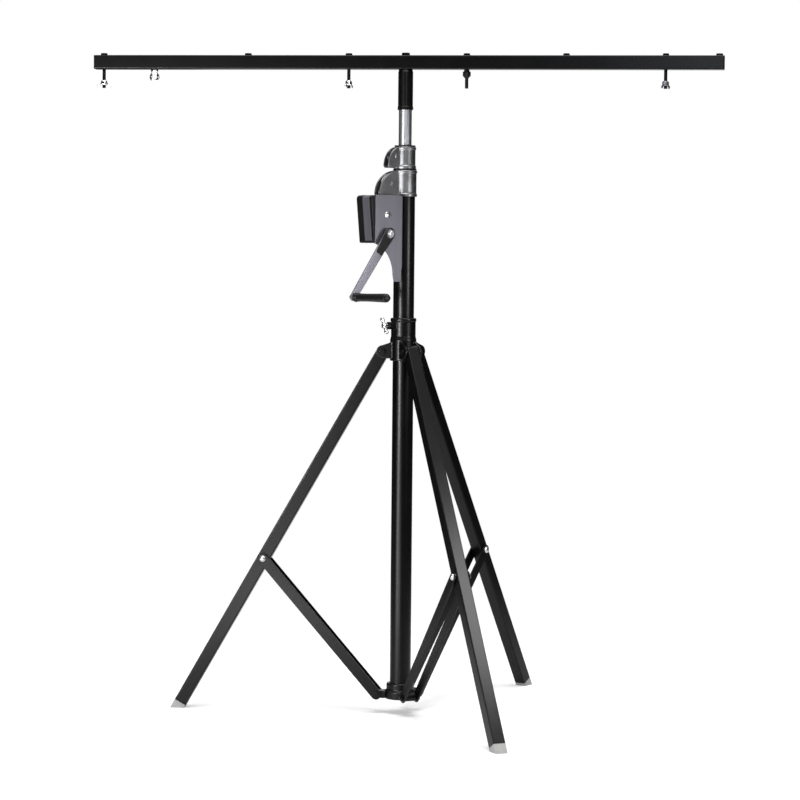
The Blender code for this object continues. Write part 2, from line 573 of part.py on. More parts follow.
def make_leg_collar():
    """The sliding casting: a clamp ring with a forked lug for each leg."""
    low, high, skirt, neck, solid = COLLAR_LOW, COLLAR_HIGH, 31.5 * MM, 29.5 * MM, COLLAR_BORE - 3 * MM
    ring = turned([(neck, high), (neck + 1.5 * MM, high - 2 * MM), (neck + 1.5 * MM, high - 7 * MM),
                   (neck, high - 9 * MM), (neck, low + 58 * MM), (skirt, low + 50 * MM), (skirt, low + MM),
                   (skirt - MM, low), (solid, low), (solid, high)])
    cheek, root_x = 5 * MM, 21 * MM
    centre = (LEG_PIVOT_R, LEG_PIVOT_Z)
    radius = 15 * MM
    lugs = []
    for azimuth in LEG_AZIMUTHS.values():
        outline = [(root_x, LEG_PIVOT_Z - 17 * MM), (LEG_PIVOT_R - 4 * MM, LEG_PIVOT_Z - radius - MM)] \
            + arc(centre, radius, -80.0, 80.0, 6) + [(34 * MM, LEG_PIVOT_Z + 20 * MM),
                                                      (root_x, LEG_PIVOT_Z + 26 * MM)]
        for side in (-1, 1):
            middle = side * (LEG_SIDE / 2.0 + 0.4 * MM + cheek / 2.0)
            lug = flat([outline, circle(centre, BOLT_R + GAP)], cheek, "XZ", (0.0, middle, 0.0))
            lug.data.transform(Matrix.Rotation(math.radians(azimuth), 4, "Z"))
            lugs.append(lug)
    body = join(ring, *lugs)
    boss = rod(9 * MM, 27 * MM, 48 * MM, "X", (0.0, 0.0, HANDLE_Z), 16, MM)
    boss.data.transform(Matrix.Rotation(math.radians(WINCH_AZIMUTH), 4, "Z"))
    body = join(body, boss)
    tap = rod(BOLT_R + 0.4 * MM, 20 * MM, 60 * MM, "X", (0.0, 0.0, HANDLE_Z))
    tap.data.transform(Matrix.Rotation(math.radians(WINCH_AZIMUTH), 4, "Z"))
    clear = rod(COLLAR_BORE, low - MM, high + MM, steps=ROUND_BIG)
    keep(cut(body, tap, clear), "leg_collar", "black_powder_coat", collar_axis)
    for name, azimuth in LEG_AZIMUTHS.items():
        axis = make_axis("leg_pivot_" + name, azimuth, around(azimuth, LEG_PIVOT_R, LEG_PIVOT_Z),
                         parent=collar_axis)
        cross_bolt(axis, (0.0, 0.0, 0.0), LEG_SIDE / 2.0 + 0.4 * MM + cheek, "leg_pivot_bolt_" + name)


def make_lock_handle():
    """A T-handled screw that clamps the collar to the mast."""
    axis = make_axis("lock_handle_axis", WINCH_AZIMUTH, (0.0, 0.0, HANDLE_Z), parent=collar_axis)
    shank = rod(BOLT_R, OUTER_R + GAP, 60 * MM, "X", steps=10)
    shoulder = turned([(0.0, 64 * MM), (5.5 * MM, 64 * MM), (7 * MM, 61 * MM), (7 * MM, 52 * MM),
                       (6 * MM, 50 * MM), (0.0, 50 * MM)], ROUND_SMALL, "X")
    half = 21 * MM
    bar = turned([(0.0, half), (3.2 * MM, half), (5 * MM, half - 2 * MM), (5 * MM, half - 7 * MM),
                  (3.6 * MM, half - 10 * MM), (3.6 * MM, -half + 10 * MM), (5 * MM, -half + 7 * MM),
                  (5 * MM, -half + 2 * MM), (3.2 * MM, -half), (0.0, -half)], 10, "Z", (58 * MM, 0.0, 0.0))
    bar.data.transform(Matrix.Rotation(math.radians(28.0), 4, "X"))
    keep(join(shoulder, shank, bar), "collar_lock_handle", "chrome", axis)


def make_legs():
    """Square tubes with a rounded, closed top, and a foot plugged into the open end."""
    tilt = leg_tilt()
    half = LEG_SIDE / 2.0
    length = math.hypot(FOOT_R - LEG_PIVOT_R, LEG_PIVOT_Z - FOOT_Z)
    for name, azimuth in LEG_AZIMUTHS.items():
        axis = make_axis("leg_axis_" + name, azimuth, around(azimuth, LEG_PIVOT_R, LEG_PIVOT_Z), -tilt,
                         collar_axis)
        outline = [(-half, -length)] + [(half, -length)] + arc((0.0, 0.0), half, 0.0, 180.0, 8)
        bar = flat([outline, circle((0.0, 0.0), BOLT_R + GAP)], LEG_SIDE)
        inside = half - LEG_WALL
        hollow = box((-inside, -inside, -length - 5 * MM), (inside, inside, -22 * MM))
        cross = rod(BOLT_R + GAP, -half - 5 * MM, half + 5 * MM, "Y", (0.0, 0.0, -JOINT_FROM_PIVOT), 10)
        keep(cut(bar, hollow, cross), "leg_" + name, "black_powder_coat", axis)
        make_foot(name, axis, length, tilt)


def make_foot(name, axis, length, tilt):
    """A plug with a pad flush with the leg, cut level with the floor."""
    outer = LEG_SIDE / 2.0
    inner = outer - LEG_WALL - GAP
    below = FOOT_Z / math.cos(math.radians(tilt)) + LEG_SIDE
    pad = box((-outer, -outer, -length - below), (outer, outer, -length - GAP), FOOT_EDGE, 1)
    plug = box((-inner, -inner, -length - 2 * MM), (inner, inner, -length + FOOT_PLUG))
    floor = box((-0.1, -0.1, -0.2), (0.1, 0.1, 0.0))
    lean = Matrix.Rotation(math.radians(-tilt), 4, "Y")
    floor.data.transform(lean.inverted() @ Matrix.Translation((0.0, 0.0, -LEG_PIVOT_Z))
                         @ Matrix.Translation((FOOT_R - LEG_PIVOT_R, 0.0, 0.0)))
    keep(cut(join(pad, plug), floor), "foot_" + name, "grey_rubber", axis)


def make_struts():
    """Two flat bars astride each leg, from the lower hub to the leg, each with its rivet head."""
    length, tilt = strut_numbers()
    end_r = STRUT_WIDE / 2.0
    outline = arc((0.0, 0.0), end_r, 180.0, 360.0, 8) + arc((0.0, length), end_r, 0.0, 180.0, 8)
    for name, azimuth in LEG_AZIMUTHS.items():
        axis = make_axis("strut_axis_" + name, azimuth, around(azimuth, HUB_PIVOT_R, HUB_PIVOT_Z), tilt,
                         root)
        for side, label in ((-1, "a"), (1, "b")):
            middle = side * (LEG_SIDE / 2.0 + 0.5 * MM + STRUT_THICK / 2.0)
            bar = flat([outline, circle((0.0, 0.0), BOLT_R + GAP)], STRUT_THICK, "XZ", (0.0, middle, 0.0))
            face = abs(middle) + STRUT_THICK / 2.0
            head = turned([(0.0, 5.5 * MM), (5 * MM, 5.0 * MM), (8 * MM, 2.5 * MM), (8 * MM, -MM),
                           (0.0, -MM)], ROUND_SMALL, "Y")
            turn = Matrix.Rotation(0.0 if side > 0 else math.pi, 4, "X")
            head.data.transform(Matrix.Translation((0.0, side * face, length)) @ turn)
            keep(join(bar, head), "strut_%s_%s" % (name, label), "black_powder_coat", axis)
        bolt_axis = make_axis("hub_bolt_axis_" + name, azimuth, around(azimuth, HUB_PIVOT_R, HUB_PIVOT_Z))
        cross_bolt(bolt_axis, (0.0, 0.0, 0.0), LEG_SIDE / 2.0 + 0.5 * MM + STRUT_THICK, "hub_bolt_" + name)


# Winch

def involute(angle):
    return math.tan(angle) - angle


def gear_outline(teeth, turn, flank_points=3):
    """The edge of a spur gear with involute flanks, its first tooth at an angle in degrees."""
    pitch = GEAR_MODULE * teeth / 2.0
    base = pitch * math.cos(PRESSURE_ANGLE)
    tip, foot = pitch + ADDENDUM * GEAR_MODULE, pitch - DEDENDUM * GEAR_MODULE
    start = max(base, foot)
    radii = [foot] + [start + (tip - start) * i / (flank_points - 1) for i in range(flank_points)]
    flank = []
    for radius in radii:
        pressure = math.acos(min(1.0, base / max(radius, base)))
        half = math.pi / (2 * teeth) + involute(PRESSURE_ANGLE) - involute(pressure) - BACKLASH / (2 * pitch)
        flank.append((radius, half))
    points = []
    for tooth in range(teeth):
        centre = math.radians(turn) + 2 * math.pi * tooth / teeth
        sides = [(r, centre - h) for r, h in flank] + [(r, centre + h) for r, h in reversed(flank)]
        points += [(r * math.cos(a), r * math.sin(a)) for r, a in sides]
    return points


def ratchet_outline(teeth, tip, foot, turn):
    """A saw-toothed wheel: a long ramp and a short, nearly radial face for each tooth."""
    points = []
    step = 360.0 / teeth
    for tooth in range(teeth):
        start = math.radians(turn + tooth * step)
        points.append((foot * math.cos(start), foot * math.sin(start)))
        points.append((tip * math.cos(start), tip * math.sin(start)))
        back = math.radians(turn + (tooth + 0.75) * step)
        mid = foot + (tip - foot) * 0.18
        points.append((mid * math.cos(back), mid * math.sin(back)))
    return points


def mesh_angle():
    """The direction from the wheel's axis to the pinion's, in degrees in the winch's x-z plane."""
    return math.degrees(math.atan2(CRANK_Z - DRUM_Z, CRANK_X - DRUM_X))


def make_winch_frame():
    """One bent sheet: two side plates and a web against the mast. The operator's plate has a tail, swept
    hollow, that narrows down beside the mast and stays clear of the leg collar's lugs."""
    corner = 10 * MM
    tip_in, tip_out = PLATE_FROM + 5 * MM, TAIL_SWEEP[0] - TAIL_SWEEP_R
    outline = [(PLATE_FROM, TAIL_LOW + 42 * MM), (tip_in, TAIL_LOW + 26 * MM),
               (tip_in, TAIL_LOW + 4 * MM), (tip_in + 4 * MM, TAIL_LOW), (tip_out - 7 * MM, TAIL_LOW),
               (tip_out - 2 * MM, TAIL_LOW + 6 * MM)] \
        + arc(TAIL_SWEEP, TAIL_SWEEP_R, 180.0, 105.7, 8) \
        + arc((PLATE_TO - 5 * MM, WINCH_HIGH - 5 * MM), 5 * MM, 0.0, 90.0, 3) \
        + arc((PLATE_FROM + corner, WINCH_HIGH - corner), corner, 90.0, 180.0, 5)
    holes = [circle((CRANK_X, CRANK_Z), 6.4 * MM, 18), circle((DRUM_X, DRUM_Z), 5.3 * MM, 14)]
    body = flat([outline] + holes, 2 * PLATE_OUT)
    web = PLATE_FROM + 3 * MM
    room = flat([[(0.0, 1.0), (0.2, 1.0), (0.2, 1.3), (web, 1.3), (web, WINCH_LOW), (0.0, WINCH_LOW)]],
                2 * PLATE_IN)
    far_tail = box((0.0, -PLATE_OUT - MM, 1.0), (0.2, 0.0, PLATE_BOTTOM))
    body = cut(body, room, far_tail)
    pads = [box((20 * MM, -12 * MM, z), (PLATE_FROM + MM, 12 * MM, z + 16 * MM)) for z in PAD_HEIGHTS]
    pin = rod(2.5 * MM, -PLATE_IN - MM, -12 * MM, "Y", (PAWL_X, 0.0, PAWL_Z), 10)
    body = join(body, *pads, pin)
    tube = rod(OUTER_R + GAP, 1.0, 1.3, steps=ROUND_BIG)
    keep(cut(body, tube), "winch_frame", "grey_steel", winch)


def make_winch_cover():
    """A black moulded cap over the open end of the plates, with a lip that closes the bottom."""
    top_x, low_x, high, low = 122.5 * MM, 112.6 * MM, WINCH_HIGH - MM, PLATE_BOTTOM + 0.5 * MM
    edge, wall, corner = PLATE_TO + 0.4 * MM, 1.8 * MM, 9 * MM
    centre = (top_x - corner, high - corner)
    outside = [(edge, low), (low_x - 2 * MM, low), (low_x, low + 2 * MM)] \
        + arc(centre, corner, 4.0, 90.0, 5) + [(edge, high)]
    inside = [(edge - 5 * MM, low + wall), (low_x - wall, low + wall)] \
        + arc(centre, corner - wall, 4.0, 90.0, 5) + [(edge - 5 * MM, high - wall)]
    block = flat([outside], 2 * PLATE_OUT)
    hollow = flat([inside], 2 * (PLATE_OUT - wall))
    lip = box((58 * MM, -PLATE_IN + GAP, low + 0.2 * MM), (edge + MM, PLATE_IN - GAP, low + 1.6 * MM))
    keep(join(cut(block, hollow), lip), "winch_cover", "black_plastic", winch)


def make_drum():
    """The drum and its toothed wheel, on one fixed axle riveted over at the operator's side."""
    core, flange = DRUM_ROPE_R - ROPE_R - GAP, 27 * MM
    near, far = 12.5 * MM, -15.5 * MM
    profile = [(flange, near), (flange, near - 2 * MM), (core, near - 2.5 * MM), (core, far + 2.5 * MM),
               (flange, far + 2 * MM), (flange, far), (9 * MM, far), (8 * MM, far - 9 * MM),
               (5.35 * MM, far - 9 * MM), (5.35 * MM, near)]
    keep(turned(profile, 24, "Y"), "winch_drum", "zinc_plate", drum_axis)
    width = 8 * MM
    holes = [circle((0.0, 0.0), 5.35 * MM)]
    holes += [circle((22 * MM * math.cos(a), 22 * MM * math.sin(a)), 5 * MM, 8)
              for a in [math.radians(36 + 72 * i) for i in range(5)]]
    wheel = flat([gear_outline(WHEEL_TEETH, mesh_angle(), 2)] + holes, width, "XZ", (0.0, GEAR_Y, 0.0))
    keep(wheel, "drum_gear", "zinc_plate", drum_axis)
    at = (DRUM_X, 0.0, DRUM_Z)
    axle = rod(5 * MM, -PLATE_OUT - 8 * MM, PLATE_OUT + MM, "Y", at)
    head = turned([(0.0, PLATE_OUT + 2.8 * MM), (4 * MM, PLATE_OUT + 2.5 * MM),
                   (7.5 * MM, PLATE_OUT + 1.4 * MM), (8.5 * MM, PLATE_OUT + GAP), (0.0, PLATE_OUT + GAP)],
                  16, "Y", at)
    nut = hexagon(8.5 * MM, -PLATE_OUT - 6 * MM, -PLATE_OUT - GAP, "Y", at)
    keep(join(axle, head, nut), "drum_axle", "zinc_plate", winch)


def make_crank():
    """Shaft with pinion, ratchet wheel and end nut; flat arm; spindle; and a grip that spins on it."""
    near_end, arm_near, arm_far = 51 * MM, 43 * MM, 38 * MM
    shaft = turned([(0.0, near_end), (5 * MM, near_end), (6 * MM, near_end - MM), (6 * MM, -33 * MM),
                    (5.2 * MM, -34 * MM), (0.0, -34 * MM)], 14, "Y")
    hub = turned([(0.0, 37.7 * MM), (9 * MM, 37.7 * MM), (11 * MM, 36 * MM), (11 * MM, PLATE_OUT + GAP),
                  (0.0, PLATE_OUT + GAP)], 16, "Y")
    clip = rod(8.5 * MM, -32.5 * MM, -PLATE_OUT - GAP, "Y", steps=14)
    nut = hexagon(9.5 * MM, arm_near + GAP, arm_near + 6 * MM, "Y")
    pinion = flat([gear_outline(PINION_TEETH, mesh_angle() + 180.0 + 180.0 / PINION_TEETH)], 9 * MM, "XZ",
                  (0.0, GEAR_Y, 0.0))
    ratchet = flat([ratchet_outline(RATCHET_TEETH, RATCHET_TIP, RATCHET_FOOT, 180.0)], 5 * MM, "XZ",
                   (0.0, PAWL_Y, 0.0))
    keep(join(shaft, hub, clip, nut, pinion, ratchet), "crank_shaft", "zinc_plate", crank_axis)

    length = math.hypot(CRANK_REACH, CRANK_DROP)
    lean = math.degrees(math.atan2(CRANK_REACH, CRANK_DROP))
    big, small = 13 * MM, 9 * MM
    outline = arc((0.0, 0.0), big, 12.0, 168.0, 10) + arc((0.0, -length), small, 186.0, 354.0, 8)
    arm = flat([outline, circle((0.0, 0.0), 6.3 * MM, 14), circle((0.0, -length), BOLT_R + GAP)],
               arm_near - arm_far, "XZ", (0.0, (arm_near + arm_far) / 2.0, 0.0))
    arm.data.transform(Matrix.Rotation(math.radians(-lean), 4, "Y"))
    keep(arm, "crank_arm", "grey_steel", crank_axis)

    bolt = turned([(0.0, 170 * MM), (3.4 * MM, 170 * MM), (4 * MM, 169 * MM), (4 * MM, 48.5 * MM),
                   (7 * MM, 48.5 * MM), (7 * MM, arm_near + GAP), (4 * MM, arm_near + GAP),
                   (4 * MM, 36.5 * MM), (0.0, 36.5 * MM)], ROUND_SMALL, "Y")
    knob = rod(6.5 * MM, 167 * MM, 171 * MM, "Y", chamfer=MM)
    tail = hexagon(7 * MM, -arm_far + GAP, -arm_far + 5 * MM, "Y")
    tail.data.transform(Matrix.Rotation(math.pi, 4, "X"))
    keep(join(bolt, knob, tail), "grip_spindle", "zinc_plate", grip_axis)
    grip = [(8.5 * MM, 166.5 * MM), (10 * MM, 165 * MM), (10.4 * MM, 158 * MM), (9.6 * MM, 120 * MM),
            (9.2 * MM, 90 * MM), (9.6 * MM, 62 * MM), (11 * MM, 52 * MM), (11 * MM, 50.5 * MM),
            (9.5 * MM, 49 * MM), (4.4 * MM, 49 * MM), (4.4 * MM, 166.5 * MM)]
    keep(turned(grip, 20, "Y"), "crank_grip", "black_plastic", grip_axis)


def make_pawl():
    """The catch on its own pin; at rest its beak stands just clear of the ratchet wheel."""
    axis = make_axis("pawl_axis", at=(PAWL_X, 0.0, PAWL_Z), parent=winch)
    reach = CRANK_X - PAWL_X - RATCHET_TIP
    beak_x, beak_z = reach - 0.6 * MM, CRANK_Z - PAWL_Z + 0.5 * MM
    outline = arc((0.0, 0.0), 5.5 * MM, 75.0, 255.0, 6) \
        + [(beak_x - 3 * MM, beak_z - 3.2 * MM), (beak_x, beak_z), (beak_x - MM, beak_z + 2.5 * MM)]
    pawl = flat([outline, circle((0.0, 0.0), 2.8 * MM, 10)], 4 * MM, "XZ", (0.0, PAWL_Y, 0.0))
    keep(pawl, "ratchet_pawl", "zinc_plate", axis)


def tangent_angle(first, first_r, second, second_r):
    """Angle of the outward normal of the outer common tangent of two circles, in radians."""
    dx, dz = second[0] - first[0], second[1] - first[1]
    away = math.atan2(dz, dx)
    return away - math.acos((first_r - second_r) / math.hypot(dx, dz))


def rope_points():
    """The rope's whole route, in the winch's frame: wound on the drum, over the pulley, down the tube."""
    drum, pulley = (DRUM_X, DRUM_Z), (PULLEY_X, PULLEY_Z)
    leave = tangent_angle(drum, DRUM_ROPE_R, pulley, PULLEY_R)
    points = []
    count = int(ROPE_POINTS_A_TURN * ROPE_TURNS)
    for i in range(count + 1):
        left = 1.0 - i / count
        angle = leave - 2 * math.pi * ROPE_TURNS * left
        points.append((drum[0] + DRUM_ROPE_R * math.cos(angle), ROPE_PITCH * ROPE_TURNS * left,
                       drum[1] + DRUM_ROPE_R * math.sin(angle)))
    steps = 10
    for i in range(steps + 1):
        angle = leave + (math.pi - leave) * i / steps
        points.append((pulley[0] + PULLEY_R * math.cos(angle), 0.0, pulley[1] + PULLEY_R * math.sin(angle)))
    down_x = PULLEY_X - PULLEY_R
    low = MIDDLE_BOTTOM + 2 * MM
    runs = 3
    for i in range(1, runs + 1):
        points.append((down_x, 0.0, PULLEY_Z + (low - PULLEY_Z) * i / runs))
    return points


def least_gap(points):
    """Least free space between two parts of the rope that aren't neighbours along it."""
    apart = int(ROPE_POINTS_A_TURN / 2)
    places = [Vector(point) for point in points]
    return min((a - b).length for i, a in enumerate(places) for b in places[i + apart:]) - 2 * ROPE_R


def make_rope():
    points = rope_points()
    curve = bpy.data.curves.new("rope", "CURVE")
    curve.dimensions = "3D"
    curve.bevel_depth = ROPE_R
    curve.bevel_resolution = 1
    curve.use_fill_caps = True
    spline = curve.splines.new("POLY")
    spline.points.add(len(points) - 1)
    for target, point in zip(spline.points, points):
        target.co = (*point, 1.0)
    item = bpy.data.objects.new("rope", curve)
    CUTTERS.objects.link(item)
    keep(freeze(item), "wire_rope", "wire", winch)
    length = sum((Vector(b) - Vector(a)).length for a, b in zip(points, points[1:]))
    print("rope length %.3f m, least gap to itself %.2f mm" % (length, least_gap(points) / MM))


make_mast()
make_middle_glide()
make_collars()
make_pulleys()
make_tbar()
make_socket()
make_tbar_bolts()
make_eye_bolt()
make_nuts()
make_hub()
make_leg_collar()
make_lock_handle()
make_legs()
make_struts()
make_winch_frame()
make_winch_cover()
make_drum()
make_crank()
make_pawl()
make_rope()
print("sub-parts", len([item for item in STAND.objects if item.type == "MESH"]))
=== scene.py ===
# %% [markdown]
# # A crank light stand
# This notebook dresses a lighting stand: a three-stage mast on a folding tripod, raised by a hand winch.
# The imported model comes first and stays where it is. Every piece made here rides on one of its bodies, so
# the mast can rise and the legs can fold while each bolt stays on what carries it.

# %% Load the frame
import json
import math

import bmesh
import bpy
from mathutils import Matrix, Vector

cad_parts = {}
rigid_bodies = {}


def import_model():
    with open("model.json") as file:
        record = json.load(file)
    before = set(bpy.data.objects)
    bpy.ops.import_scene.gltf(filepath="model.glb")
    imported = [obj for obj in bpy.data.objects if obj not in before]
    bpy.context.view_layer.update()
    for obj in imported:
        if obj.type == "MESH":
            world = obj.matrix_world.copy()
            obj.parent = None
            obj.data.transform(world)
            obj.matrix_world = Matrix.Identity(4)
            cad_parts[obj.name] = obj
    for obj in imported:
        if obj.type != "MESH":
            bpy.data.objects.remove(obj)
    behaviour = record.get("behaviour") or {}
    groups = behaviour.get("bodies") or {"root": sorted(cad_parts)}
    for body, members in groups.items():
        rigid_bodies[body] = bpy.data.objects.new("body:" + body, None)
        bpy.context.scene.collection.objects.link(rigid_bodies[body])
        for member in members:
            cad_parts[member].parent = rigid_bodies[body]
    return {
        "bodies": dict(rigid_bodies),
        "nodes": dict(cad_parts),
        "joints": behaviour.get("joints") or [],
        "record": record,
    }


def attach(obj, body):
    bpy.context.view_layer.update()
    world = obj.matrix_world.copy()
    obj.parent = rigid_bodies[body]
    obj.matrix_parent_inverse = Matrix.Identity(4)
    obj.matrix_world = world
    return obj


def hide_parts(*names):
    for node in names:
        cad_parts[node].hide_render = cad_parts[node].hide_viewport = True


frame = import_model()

MM = 0.001
nodes = frame["nodes"]
scene = bpy.context.scene
scene.view_settings.view_transform = "Standard"
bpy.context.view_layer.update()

# %% [markdown]
# ## The camera
# The photograph was taken from about six metres with a long lens, half a metre below the T-bar. Its place was
# found by matching the feet, the bar's ends and the winch, so the picture shows the same angle. A long
# lens far away keeps the square bar and the legs almost free of perspective.

# %% Camera
CAMERA_AT = Vector((0.6531, -6.118, 1.074))
CAMERA_LOOK = Vector((-0.10706, 0.99288, -0.05223))
CAMERA_ROLL = math.radians(0.5272)
LENS_MM = 116.2


def put(name, data, place=Matrix()):
    """An object with its data, set at a place in the scene."""
    item = bpy.data.objects.new(name, data)
    item.matrix_world = place
    scene.collection.objects.link(item)
    return item


def aimed(at, look, roll=0.0):
    """A place whose -Z looks along a direction, with +Y up, rolled about that direction."""
    right = look.cross(Vector((0.0, 0.0, 1.0))).normalized()
    up = right.cross(look).normalized()
    axes = Matrix((right * math.cos(roll) + up * math.sin(roll), up * math.cos(roll) - right * math.sin(roll),
                   -look.normalized()))
    return Matrix.Translation(at) @ axes.transposed().to_4x4()


camera = put("camera", bpy.data.cameras.new("camera"), aimed(CAMERA_AT, CAMERA_LOOK, CAMERA_ROLL))
camera.data.lens, camera.data.sensor_width, camera.data.clip_end = LENS_MM, 36.0, 200.0
scene.camera = camera
print("camera", tuple(round(v, 2) for v in CAMERA_AT), "lens", LENS_MM)

# %% [markdown]
# ## Small tools for node trees
# Shader trees, the world and Geometry Nodes are all built from the same two moves: make a node, and feed its
# inputs with values or with other nodes' outputs. A few short functions keep the later cells easy to read.

# %% Node helpers


def feed(tree, node, inputs):
    """Sets a node's inputs, by name or number, each to a value or to a (node, output) pair."""
    for name, value in inputs.items():
        if isinstance(value, tuple) and isinstance(value[0], bpy.types.Node):
            tree.links.new(value[0].outputs[value[1]], node.inputs[name])
        else:
            node.inputs[name].default_value = value


def add(tree, kind, inputs=None, **settings):
    """A node with its settings and its inputs."""
    node = tree.nodes.new(kind)
    for name, value in settings.items():
        setattr(node, name, value)
    feed(tree, node, inputs or {})
    return node


def maths(tree, operation, first, second, clamp=False):
    """A math node fed by numbers or pairs; returns its own pair."""
    return (add(tree, "ShaderNodeMath", {0: first, 1: second}, operation=operation, use_clamp=clamp), "Value")


def vector(tree, x, y, z):
    """Three numbers or pairs as one vector pair."""
    return (add(tree, "ShaderNodeCombineXYZ", {"X": x, "Y": y, "Z": z}), "Vector")


# %% [markdown]
# ## The studio
# A pale floor runs out to a white room. What the camera, a mirror finish or glass sees is plain white, by
# Light Path, while the light that falls on the stand is set by itself, so nothing is overlit. A wide soft
# box hangs above and a small one stands front left. Black paint shows nothing but what it mirrors, so the
# rest is done as in any studio that photographs black steel: dark curtains all round keep it black, and a
# few bright cards draw the line down the mast and the sheen on a leg, a strut and the end of the bar.

# %% World and floor
AMBIENT = 0.42              # how strongly the white room lights matt surfaces
FLOOR_COLOUR = (0.90, 0.90, 0.90, 1.0)
FLOOR_GLOW = 0.30           # what the camera sees added to the floor, so that it is as pale as the room
FLOOR_WIDTH = 8.0
FLOOR_ENDS = (0.9, 2.6)     # the floor thins out into the white room between these distances
WHITE = (1.0, 1.0, 1.0, 1.0)


def seen_directly(tree):
    """1 where a ray from the camera, a reflection or a transmission looks at the surface itself."""
    path = add(tree, "ShaderNodeLightPath")
    seen = maths(tree, "MAXIMUM", (path, "Is Camera Ray"), (path, "Is Glossy Ray"))
    return maths(tree, "MAXIMUM", seen, (path, "Is Transmission Ray"))


def emptied(owner):
    """The node tree of a world or a material, switched on and cleared."""
    owner.use_nodes = True
    owner.node_tree.nodes.clear()
    return owner.node_tree


def sheet(name, width, height, material, place=Matrix()):
    """A flat rectangle round its place."""
    shape = bmesh.new()
    bmesh.ops.create_grid(shape, x_segments=1, y_segments=1, size=0.5)
    bmesh.ops.scale(shape, vec=(width, height, 1.0), verts=shape.verts)
    mesh = bpy.data.meshes.new(name)
    shape.to_mesh(mesh)
    shape.free()
    mesh.materials.append(material)
    return put(name, mesh, place)


room = bpy.data.worlds.new("white_room")
tree = emptied(room)
strength = maths(tree, "ADD", maths(tree, "MULTIPLY", seen_directly(tree), 1.0 - AMBIENT), AMBIENT)
lit = add(tree, "ShaderNodeBackground", {"Color": WHITE, "Strength": strength})
add(tree, "ShaderNodeOutputWorld", {"Surface": (lit, "Background")})
scene.world = room

floor_finish = bpy.data.materials.new("studio_floor")
floor_finish.use_nodes = True
tree = floor_finish.node_tree
far = add(tree, "ShaderNodeVectorMath", {0: (add(tree, "ShaderNodeTexCoord"), "Object")}, operation="LENGTH")
thin = add(tree, "ShaderNodeMapRange", {"Value": (far, "Value"), "From Min": FLOOR_ENDS[0], "From Max": FLOOR_ENDS[1],
                                        "To Min": 1.0, "To Max": 0.0}, interpolation_type="SMOOTHSTEP")
glow = maths(tree, "MULTIPLY", seen_directly(tree), FLOOR_GLOW)
feed(tree, tree.nodes["Principled BSDF"], {"Base Color": FLOOR_COLOUR, "Roughness": 0.9, "Specular IOR Level": 0.1,
                                           "Emission Color": WHITE, "Emission Strength": glow,
                                           "Alpha": (thin, "Result")})
floor = sheet("studio_floor", FLOOR_WIDTH, FLOOR_WIDTH, floor_finish)

# %% Lamps and curtains


def soft_box(name, at, aim, width, height, watts):
    """A rectangular lamp at a place, aimed at a point."""
    lamp = bpy.data.lights.new(name, "AREA")
    lamp.shape = "RECTANGLE"
    lamp.size, lamp.size_y, lamp.energy = width, height, watts
    put(name, lamp, aimed(at, Vector(aim) - Vector(at)))


def card(name, at, aim, width, height, glow, tint=(1.0, 1.0, 1.0)):
    """A flat card that only reflections can see: a curtain when dark, a reflector when bright."""
    cloth = bpy.data.materials.new(name)
    tree = emptied(cloth)
    light = add(tree, "ShaderNodeEmission", {"Color": (*tint, 1.0), "Strength": glow})
    add(tree, "ShaderNodeOutputMaterial", {"Surface": (light, "Emission")})
    item = sheet(name, width, height, cloth, aimed(at, Vector(aim) - Vector(at)))
    item.visible_camera = item.visible_diffuse = item.visible_shadow = item.visible_transmission = False


CURTAIN_HEIGHT, CURTAIN_MIDDLE = 9.0, 1.6
soft_box("top_box", (0.2, -0.9, 4.2), (0.1, 0.0, 0.8), 2.4, 2.4, 140.0)
soft_box("key_box", (-1.05, -2.45, 0.9), (0.0, 0.0, 0.72), 0.5, 0.75, 14.0)
for name, x, y, width, glow in (("front", 0.7, -8.5, 13.0, 0.02), ("left", -6.5, -3.0, 9.0, 0.03),
                                ("right", 6.5, -2.0, 8.0, 0.04), ("left_back", -4.6, 4.4, 8.0, 0.03),
                                ("right_back", 5.2, 4.6, 7.0, 0.03)):
    card(name + "_curtain", (x, y, CURTAIN_MIDDLE), (0.0, 0.0, CURTAIN_MIDDLE), width, CURTAIN_HEIGHT, glow)
card("mast_card", (-1.50, -2.30, 0.52), (0.0, 0.0, 0.52), 0.85, 1.1, 5.0)
card("mast_heart", (-1.42, -2.26, 0.79), (0.0, 0.0, 0.79), 0.55, 0.26, 120.0)
card("leg_card", (0.95, -0.66, 1.10), (0.22, -0.38, 0.20), 0.32, 0.42, 24.0)
card("low_card", (-1.65, -1.95, 0.10), (0.0, 0.0, 0.10), 0.7, 0.3, 26.0)
card("floor_card", (-0.52, -1.75, 0.004), (-0.52, -1.74, 1.0), 0.6, 0.8, 22.0)
card("bar_card", (0.85, -2.6, 1.77), (0.75, 0.0, 1.55), 0.6, 0.5, 7.0, (0.88, 0.92, 1.0))
print("studio ready")

# %% [markdown]
# ## What the finishes share
# Powder coat, plating, castings and plastic are all told apart by small things: the grain of the skin,
# where an edge is rubbed, and dust near the floor. Each of these is one node group that gives out only a
# value or a mask, and every finish below uses it with its own numbers. Object coordinates are metres here,
# so a grain's size can be given in millimetres.

# %% Node groups


def group(name, numbers, outputs, kind="Shader", inputs=(), results="Float"):
    """An empty node group, whose numbers have a value each and whose other inputs a kind; with its end nodes."""
    tree = bpy.data.node_groups.new(name, kind + "NodeTree")
    for label, socket in inputs:
        tree.interface.new_socket(label, in_out="INPUT", socket_type="NodeSocket" + socket)
    for label, value in numbers.items():
        tree.interface.new_socket(label, in_out="INPUT", socket_type="NodeSocketFloat").default_value = value
    for label in outputs:
        tree.interface.new_socket(label, in_out="OUTPUT", socket_type="NodeSocket" + results)
    return tree, add(tree, "NodeGroupInput"), add(tree, "NodeGroupOutput")


